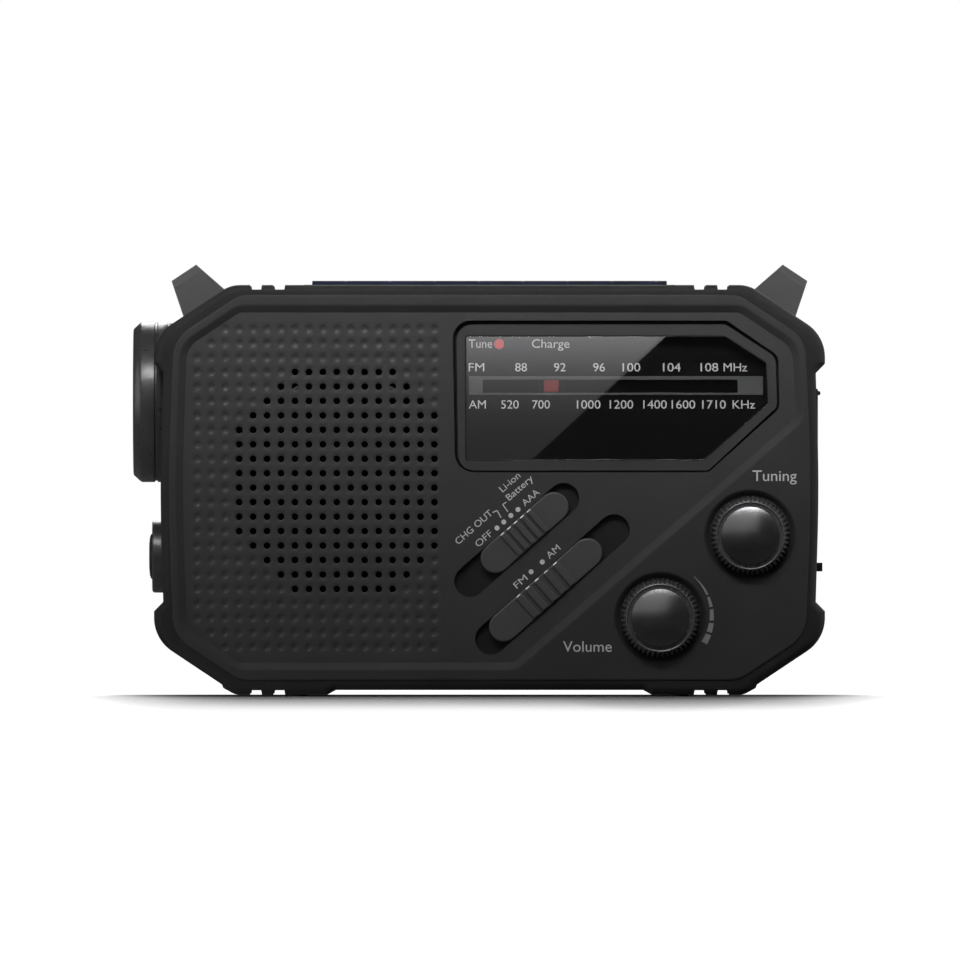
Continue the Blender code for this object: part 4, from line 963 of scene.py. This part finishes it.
def bumper(name, outer_y, inner_y, node):
    """A rubber ring with a rolled outer edge."""
    way = 1 if inner_y > outer_y else -1
    sides = [(-2.3, 0.0), (-1.55, 0.08), (-0.8, 0.5), (-0.25, 1.15), (0.0, 2.1)]
    rings = [(rounded(grown(BUMPER, more)), outer_y + way * deep) for more, deep in sides]
    rings.append((rounded(BUMPER), inner_y - way * 0.5))
    rings.append((rounded(grown(BUMPER, -0.35)), inner_y - way * 0.12))
    rings.append((rounded(grown(BUMPER, -0.8)), inner_y))
    ring = loft(rings)
    low, high = min(outer_y, inner_y), max(outer_y, inner_y)
    inside = rounded(grown(CABINET, -0.15))
    cut(ring, loft([(inside, low - 1), (inside, high + 1)]))
    cut(ring, *notches((low, high)))
    for x in (-FOOT_X, FOOT_X):
        cut(ring, rod("Z", (-1.0, 2.45), (x, -way * FOOT_Y), FOOT_STEM))
    soften(ring, 0.0, 1, 32)
    finish_piece(ring, name, RUBBER, node, slot="black_rubber")


# Dial


def rectangle(x, z):
    return [(x[0], z[0]), (x[1], z[0]), (x[1], z[1]), (x[0], z[1])]


def window():
    """Bezel, smoked window, scale plate with its grey slot frame, pointer and lamp."""
    ring = plate([rounded(BEZEL), rounded(grown(LENS, 0.05))], (-29.25, -27.0))
    soften(ring, 0.42, 4, 50)
    finish_piece(ring, "window_bezel", SATIN, "dial_bezel")
    clear = plate([rounded(grown(LENS, -0.12))], (-28.95, -28.15))
    soften(clear, 0.12, 2, 50)
    finish_piece(clear, "window_lens", WINDOW_CLEAR, "dial_lens", slot="clear_window")
    slot = rectangle(SLOT_X, SLOT_Z)
    lamp_hole = []
    for step in range(32):
        angle = step * math.pi / 16
        x, z = LAMP_HOLE * math.cos(angle), LAMP_HOLE * math.sin(angle)
        lamp_hole.append((LAMP[0] + x, LAMP[1] + z))
    scale = plate([rounded(grown(WINDOW, 0.2)), slot, lamp_hole], (DIAL_Y, DIAL_Y + 1.0))
    finish_piece(scale, "dial_scale", DIAL_BLACK, "dial_plate", slot="dial_black")
    grey = plate([rectangle(SLOT_FRAME_X, SLOT_FRAME_Z), slot], (DIAL_Y - 0.35, DIAL_Y))
    soften(grey, 0.08, 2, 50)
    finish_piece(grey, "slot_frame", SLOT_GREY, slot="dial_black")
    pointer = block((13.6, 17.3), (-26.5, -24.6), (76.1, 79.1))
    soften(pointer, 0.2, 3)
    finish_piece(pointer, "pointer_flag", RED, "dial_pointer", body="pointer", slot="red_plastic")
    carriage = block((11.9, 19.0), (-24.8, -22.6), (74.1, 81.1))
    soften(carriage, 0.3, 2)
    finish_piece(carriage, "pointer_carriage", TRAY_BLACK, "dial_pointer", body="pointer")
    strip = block((-6.0, 68.0), (-22.35, -22.1), (72.0, 84.0))
    finish_piece(strip, "slot_backing", SLOT_SHADE, slot="dial_black")
    lamp = lathe("Y", LAMP, LAMP_PROFILE, 48)
    finish_piece(lamp, "tune_light", LAMP_RED, "tune_lamp", slot="red_plastic")


def lettering(words, height, start, width, paint, y, name, turn=0.0, centred=False):
    """Printed words: capitals of a height, a width in all, from a start point or centred on it."""
    curve = bpy.data.curves.new(name, "FONT")
    curve.body = words
    curve.extrude = 0.004
    curve.resolution_u = 6
    mesh = curve_mesh(name, curve)
    scale = height / FONT_CAPITAL
    low = min(v.co.x for v in mesh.vertices)
    high = max(v.co.x for v in mesh.vertices)
    narrow = width / ((high - low) * scale)
    shift = -(low + high) / 2 if centred else -low
    steps = (
        Matrix.Translation(place(start[0], y, start[1]))
        @ Matrix.Rotation(-turn, 4, "Y")
        @ Matrix.Rotation(math.pi / 2, 4, "X")
        @ Matrix.Diagonal((scale * narrow * MM, scale * MM, MM, 1.0))
        @ Matrix.Translation((shift, 0, 0))
    )
    mesh.transform(steps)
    finish_piece(linked(name, mesh), name, paint)


def dial_lettering():
    """The words above the scales, then each scale's name, numbers and unit."""
    y = DIAL_Y - 0.03
    lettering("Tune", 2.25, (SCALE_LEFT, 87.2), 5.9, DIAL_INK_PAINTED_GLOW, y, "print_tune")
    lettering("Charge", 2.25, (10.6, 87.2), 9.4, DIAL_INK_PAINTED_GLOW, y, "print_charge")
    for band, z, width, numbers, unit, unit_x, unit_width in SCALES:
        name = "print_" + band.lower()
        lettering(band, SCALE_TEXT, (SCALE_LEFT, z), width, DIAL_INK_PAINTED_GLOW, y, name)
        for words, x in numbers:
            across = DIGIT_WIDTH * len(words)
            lettering(words, SCALE_TEXT, (x, z), across, DIAL_INK_PAINTED_GLOW, y, f"{name}_{words}", centred=True)
        unit_name = "print_" + unit.lower()
        lettering(unit, SCALE_TEXT, (unit_x, z), unit_width, DIAL_INK_PAINTED_GLOW, y, unit_name, centred=True)


def control_lettering():
    """The knobs' and switches' labels, the switches' dots and the two bent leader lines."""
    frame_y = FRAME_Y - 0.015
    face_y = FACE_Y - 0.015
    lettering("Tuning", 2.8, (65.75, 53.9), 11.05, LABEL_INK, frame_y, "print_tuning")
    lettering("Volume", 2.8, (18.4, 11.2), 12.15, LABEL_INK, frame_y, "print_volume")
    for number, (text, start, width) in enumerate(SWITCH_WORDS):
        name = f"print_switch_{number}"
        lettering(text, SWITCH_TEXT, start, width, LABEL_INK, face_y, name, SLIDE_ANGLE)
    front, back = PRINT_Y
    dot = [(0.0, front), (DOT_RADIUS, front), (DOT_RADIUS, back), (0.0, back)]
    dots = [lathe("Y", spot, dot, 24) for spot in POWER_DOTS + BAND_DOTS]
    finish_piece(merged(dots), "print_dots", LABEL_INK)
    leaders = []
    for path in LEADERS:
        for start, end in zip(path, path[1:]):
            leaders.append(line_plate(start, end, 0.12))
    finish_piece(merged(leaders), "print_leaders", LABEL_INK)


def line_plate(start, end, half_width):
    """A printed straight line on the face."""
    along = (Vector(end) - Vector(start)).normalized()
    across = Vector((-along.y, along.x)) * half_width
    a, b = Vector(start), Vector(end)
    outline = [tuple(a - across), tuple(b - across), tuple(b + across), tuple(a + across)]
    return plate([outline], PRINT_Y)


def volume_wedge():
    """Five raised segments that widen clockwise round the volume knob."""
    x, z, _ = KNOBS["volume_knob"]
    first, last = WEDGE_BOUNDS[0], WEDGE_BOUNDS[-1]
    segments = []
    for start, end in zip(WEDGE_BOUNDS, WEDGE_BOUNDS[1:]):
        start, end = start - WEDGE_GAP, end + WEDGE_GAP
        angles = [start + (end - start) * step / 10 for step in range(11)]
        spots = [(angle, WEDGE_RADIUS) for angle in angles]
        for angle in reversed(angles):
            width = WEDGE_WIDTH[0] + WEDGE_WIDTH[1] * (first - angle) / (first - last)
            spots.append((angle, WEDGE_RADIUS - width))
        outline = []
        for angle, radius in spots:
            turn = math.radians(angle)
            outline.append((x + radius * math.cos(turn), z + radius * math.sin(turn)))
        segments.append(plate([outline], (FRAME_Y - 0.12, FRAME_Y + 0.05)))
    piece = merged(segments)
    soften(piece, 0.05, 1, 50)
    finish_piece(piece, "volume_wedge", WEDGE_INK)


# Knobs and switches


def knurled_ring(x, z):
    """A skirt of rounded teeth that flares to its base."""

    def ring(tip, root):
        points = []
        for tooth in range(KNURL_TEETH):
            for share, height in TOOTH_SHAPE:
                angle = 2 * math.pi * (tooth + share) / KNURL_TEETH
                radius = root + (tip - root) * height
                points.append((x + radius * math.cos(angle), z + radius * math.sin(angle)))
        return points

    return loft([(ring(tip, root), y) for tip, root, y in KNURL_RINGS])


def knob(name):
    """Knurled skirt, thin raised rim, domed cap and shaft."""
    x, z, body = KNOBS[name]
    skirt = knurled_ring(x, z)
    soften(skirt, 0.0, 1, 40)
    finish_piece(skirt, f"{name}_skirt", KNURL_PLASTIC, name, body=body)
    rim = lathe("Y", (x, z), KNOB_RIM)
    finish_piece(rim, f"{name}_rim", KNURL_PLASTIC, name, body=body)
    cap = list(CAP_SIDE)
    for step in range(1, 13):
        angle = DOME_ANGLE * (1 - step / 12)
        y = KNOB_TOP_Y + DOME_RADIUS * (1 - math.cos(angle))
        cap.append((DOME_RADIUS * math.sin(angle), y))
    dome = lathe("Y", (x, z), cap)
    finish_piece(dome, f"{name}_cap", CAP_GLOSS, name, body=body)
    shaft = rod("Y", (-29.5, SHAFT_END[body]), (x, z), 3.0)
    finish_piece(shaft, f"{name}_shaft", STEEL, name, body=body)


def slider(name):
    """A rounded slide cap with five grip ribs, each with a pale mark at its end."""
    centre, between, pitch, body = SLIDERS[name]
    along, across = slide_axes()
    base = plate([stadium(centre, between, SLIDER_WIDTH)], (-29.35, -27.5))
    soften(base, 0.45, 4, 60)
    ribs = [base]
    marks = []
    for rib in range(-2, 3):
        middle = Vector(centre) + along * (pitch * rib)
        bar = plate([slanted(middle, pitch * 0.30, SLIDER_WIDTH / 2 - 0.3)], (-29.95, -29.0))
        soften(bar, 0.28, 3)
        ribs.append(bar)
        end = middle + across * (SLIDER_WIDTH / 2 - 0.32)
        marks.append(plate([slanted(end, 0.55, 0.13)], (-29.98, -29.0)))
    finish_piece(merged(ribs), f"{name}_cap", SLIDER_PLASTIC, name, body=body)
    finish_piece(merged(marks), f"{name}_marks", INK, name, body=body)


# Copies of CAD nodes


def body_of(node):
    """The moving body that the record gives a CAD node."""
    for body, members in frame["record"]["behaviour"]["bodies"].items():
        if node in members:
            return body
    raise KeyError(node)


def slot_of(node):
    """The material slot that the record gives a CAD node."""
    for row in frame["record"]["subparts"]:
        if row["node"] == node:
            return row["material_slot"]
    raise KeyError(node)


PAINT_OF_SLOT = {
    "satin_black_plastic": SATIN,
    "black_rubber": RUBBER,
    "gloss_black_plastic": GLOSS,
    "dial_black": TRAY_BLACK,
    "clear_window": TORCH_CLEAR,
    "red_plastic": RED,
    "plated_steel": STEEL,
    "chrome": CHROME,
    "brass": BRASS,
    "white_acetal": ACETAL,
    "milky_plastic": MILKY,
    "speaker_paper": PAPER,
    "circuit_board": BOARD,
    "ferrite": FERRITE,
    "cell_wrap": SLEEVE,
    "solar_glass": SOLAR,
}
EDGE_WIDTH = {
    "rear_cabinet": 0.0,
    "left_strap_lug": 0.45,
    "right_strap_lug": 0.45,
    "crank_arm": 0.5,
    "port_cover": 0.3,
    "battery_door": 0.25,
    "solar_panel": 0.2,
}


def other_nodes():
    """Each CAD node that isn't drawn afresh gets rounded edges and its real finish."""
    for node, source in frame["nodes"].items():
        if node in drawn:
            continue
        slot = slot_of(node)
        paint = LUG_PLASTIC if "lug" in node else PAINT_OF_SLOT[slot]
        name = node + "_look"
        obj = linked(name, source.data.copy())
        soften(obj, EDGE_WIDTH.get(node, 0.12), 2, 32)
        finish_piece(obj, name, paint, node, body=body_of(node), slot=slot)


# Torch


def end_piece(profile, z, name, paint, node, slot, steps=96, body="cabinet"):
    """A round piece in the left end, about an axis along X."""
    obj = lathe("X", (0.0, z), profile, steps)
    finish_piece(obj, name, paint, node, body=body, slot=slot)


def torch():
    """Barrel, window, mirror bowl and light chip."""
    z = TORCH_Z
    gloss = "gloss_black_plastic"
    end_piece(BARREL, z, "torch_barrel_look", TORCH_SATIN, "torch_barrel", gloss, 128)
    end_piece(TORCH_WINDOW, z, "torch_window_look", TORCH_CLEAR, "torch_lens", "clear_window")
    bowl = []
    for step in range(17):
        out = (BOWL_RADIUS - CHIP_RADIUS) * step / 16
        along = BOWL_FLOOR_X - BOWL_DEPTH * (out / (BOWL_RADIUS - CHIP_RADIUS)) ** 2
        bowl.append((CHIP_RADIUS + out, along))
    back = [(radius + 0.5, along + 0.9) for radius, along in reversed(bowl)]
    end_piece(bowl + back, z, "torch_reflector_look", CHROME, "torch_reflector", "chrome")
    end_piece(CHIP, z, "torch_light", ACETAL, "torch_reflector", "chrome", 48)


def torch_button():
    """The ring round the push button, and its soft cap."""
    z = BUTTON_Z
    gloss = "gloss_black_plastic"
    end_piece(BUTTON_RING, z, "torch_button_ring", TORCH_SATIN, "torch_button_bezel", gloss)
    cap = "torch_button_cap"
    end_piece(BUTTON_CAP, z, cap, RUBBER, "torch_button", "black_rubber", body="torch_push")


# Stage


def floor_material():
    """A white sheet that glows white to the camera alone, so it looks white with little light on it;
    ambient occlusion darkens that glow near the radio, a painted contact shadow.
    """
    paint = Nodes("floor_white_painted_shadow", (0.10, 0.10, 0.10), 0.9)
    paint.value("Specular IOR Level", 0.0)
    paint.value("Emission Color", (1.0, 1.0, 1.0, 1.0))
    # Painted shadow: the glow fades where ambient occlusion finds the radio near.
    contact = paint.add("ShaderNodeAmbientOcclusion", {"Distance": SHADOW_REACH}, samples=24)
    painted_contact_shadow = paint.math("POWER", contact.outputs["AO"], SHADOW_DEPTH)
    seen = paint.add("ShaderNodeLightPath").outputs["Is Camera Ray"]
    paint.link(paint.math("MULTIPLY", painted_contact_shadow, seen), "Emission Strength")
    return paint.material


def floor():
    """A pale sheet: level under the radio, falling away gently in front of it."""
    bm = bmesh.new()
    lines = [[bm.verts.new((x, y, z)) for x in (-FLOOR_HALF, FLOOR_HALF)] for y, z in FLOOR_ROWS]
    for near, far in zip(lines, lines[1:]):
        bm.faces.new((near[0], near[1], far[1], far[0]))
    obj = mesh_object(bm, "floor")
    if obj.data.polygons[0].normal.z < 0:
        obj.data.flip_normals()
    obj.data.shade_smooth()
    obj.data.materials.append(floor_material())
    obj.visible_shadow = False


def area_light(name, centre, target, size, power, spread):
    """A soft light aimed at a point, in metres and watts, that the camera doesn't see."""
    data = bpy.data.lights.new(name, "AREA")
    data.shape = "RECTANGLE"
    data.size, data.size_y = size
    data.energy = power
    data.spread = math.radians(spread)
    obj = linked(name, data)
    obj.visible_camera = False
    obj.location = centre
    obj.rotation_euler = (Vector(target) - Vector(centre)).to_track_quat("-Z", "Y").to_euler()


def card(name, corners, material):
    """A flat card far in front of the radio, seen only in mirrors."""
    bm = bmesh.new()
    bm.faces.new([bm.verts.new(place(x, CARD_Y, z)) for x, z in corners])
    obj = mesh_object(bm, name)
    obj.data.materials.append(material)
    obj.visible_camera = False
    obj.visible_diffuse = False
    obj.visible_transmission = False
    obj.visible_shadow = False


def card_glow():
    """Soft light that is strongest at the card's top."""
    material = bpy.data.materials.new("card_glow")
    material.use_nodes = True
    tree = material.node_tree
    tree.nodes.clear()
    low, high = (place(0, 0, z).z for z in CARD_FADE_Z)
    where = add_node(tree, "ShaderNodeTexCoord").outputs["Object"]
    height = add_node(tree, "ShaderNodeSeparateXYZ", {"Vector": where}).outputs["Z"]
    rise = map_range(tree, height, 0.0, 1.0, low, high)
    bend = add_node(tree, "ShaderNodeMath", {0: rise, 1: CARD_FADE}, operation="POWER")
    strength = map_range(tree, bend.outputs["Value"], *CARD_LEVELS)
    glow = add_node(tree, "ShaderNodeEmission", {"Strength": strength}).outputs["Emission"]
    add_node(tree, "ShaderNodeOutputMaterial", {"Surface": glow})
    material.cycles.emission_sampling = "NONE"
    return material


def surroundings():
    """White to the camera, and only a faint even light on the radio."""
    world = bpy.data.worlds.new("studio")
    bpy.context.scene.world = world
    world.use_nodes = True
    tree = world.node_tree
    seen = add_node(tree, "ShaderNodeLightPath").outputs["Is Camera Ray"]
    background = tree.nodes["Background"]
    background.inputs["Color"].default_value = (1.0, 1.0, 1.0, 1.0)
    tree.links.new(map_range(tree, seen, AMBIENT, 1.0), background.inputs["Strength"])


def studio():
    """The floor, the lights, and the two cards that the dial window mirrors."""
    surroundings()
    floor()
    for light in LIGHTS:
        area_light(*light)
    card("studio_card", LIT_CARD, card_glow())
    felt = Nodes("black_felt", (0.0, 0.0, 0.0), 1.0).material
    card("studio_flag", DARK_CARD, felt)
    view = bpy.context.scene.view_settings
    view.view_transform = "Standard"
    view.look = "None"


def camera():
    """Straight in front, from far enough away to see the front nearly flat."""
    data = bpy.data.cameras.new("camera")
    data.sensor_width = 36.0
    data.lens = data.sensor_width * CAMERA_DISTANCE / PICTURE_WIDTH
    data.clip_end = 50.0
    obj = linked("camera", data)
    obj.location = place(AIM_X, FRAME_Y, AIM_Z) - Vector((0.0, CAMERA_DISTANCE, 0.0))
    obj.rotation_euler = (math.pi / 2, 0.0, 0.0)
    bpy.context.scene.camera = obj


front_face()
front_frame()
bumper("front_bumper_look", -29.6, SPLIT_Y, "front_bumper")
bumper("rear_bumper_look", 29.3, -SPLIT_Y, "rear_bumper")
window()
dial_lettering()
control_lettering()
volume_wedge()
for knob_name in KNOBS:
    knob(knob_name)
for slider_name in SLIDERS:
    slider(slider_name)
torch()
torch_button()
other_nodes()
studio()
camera()
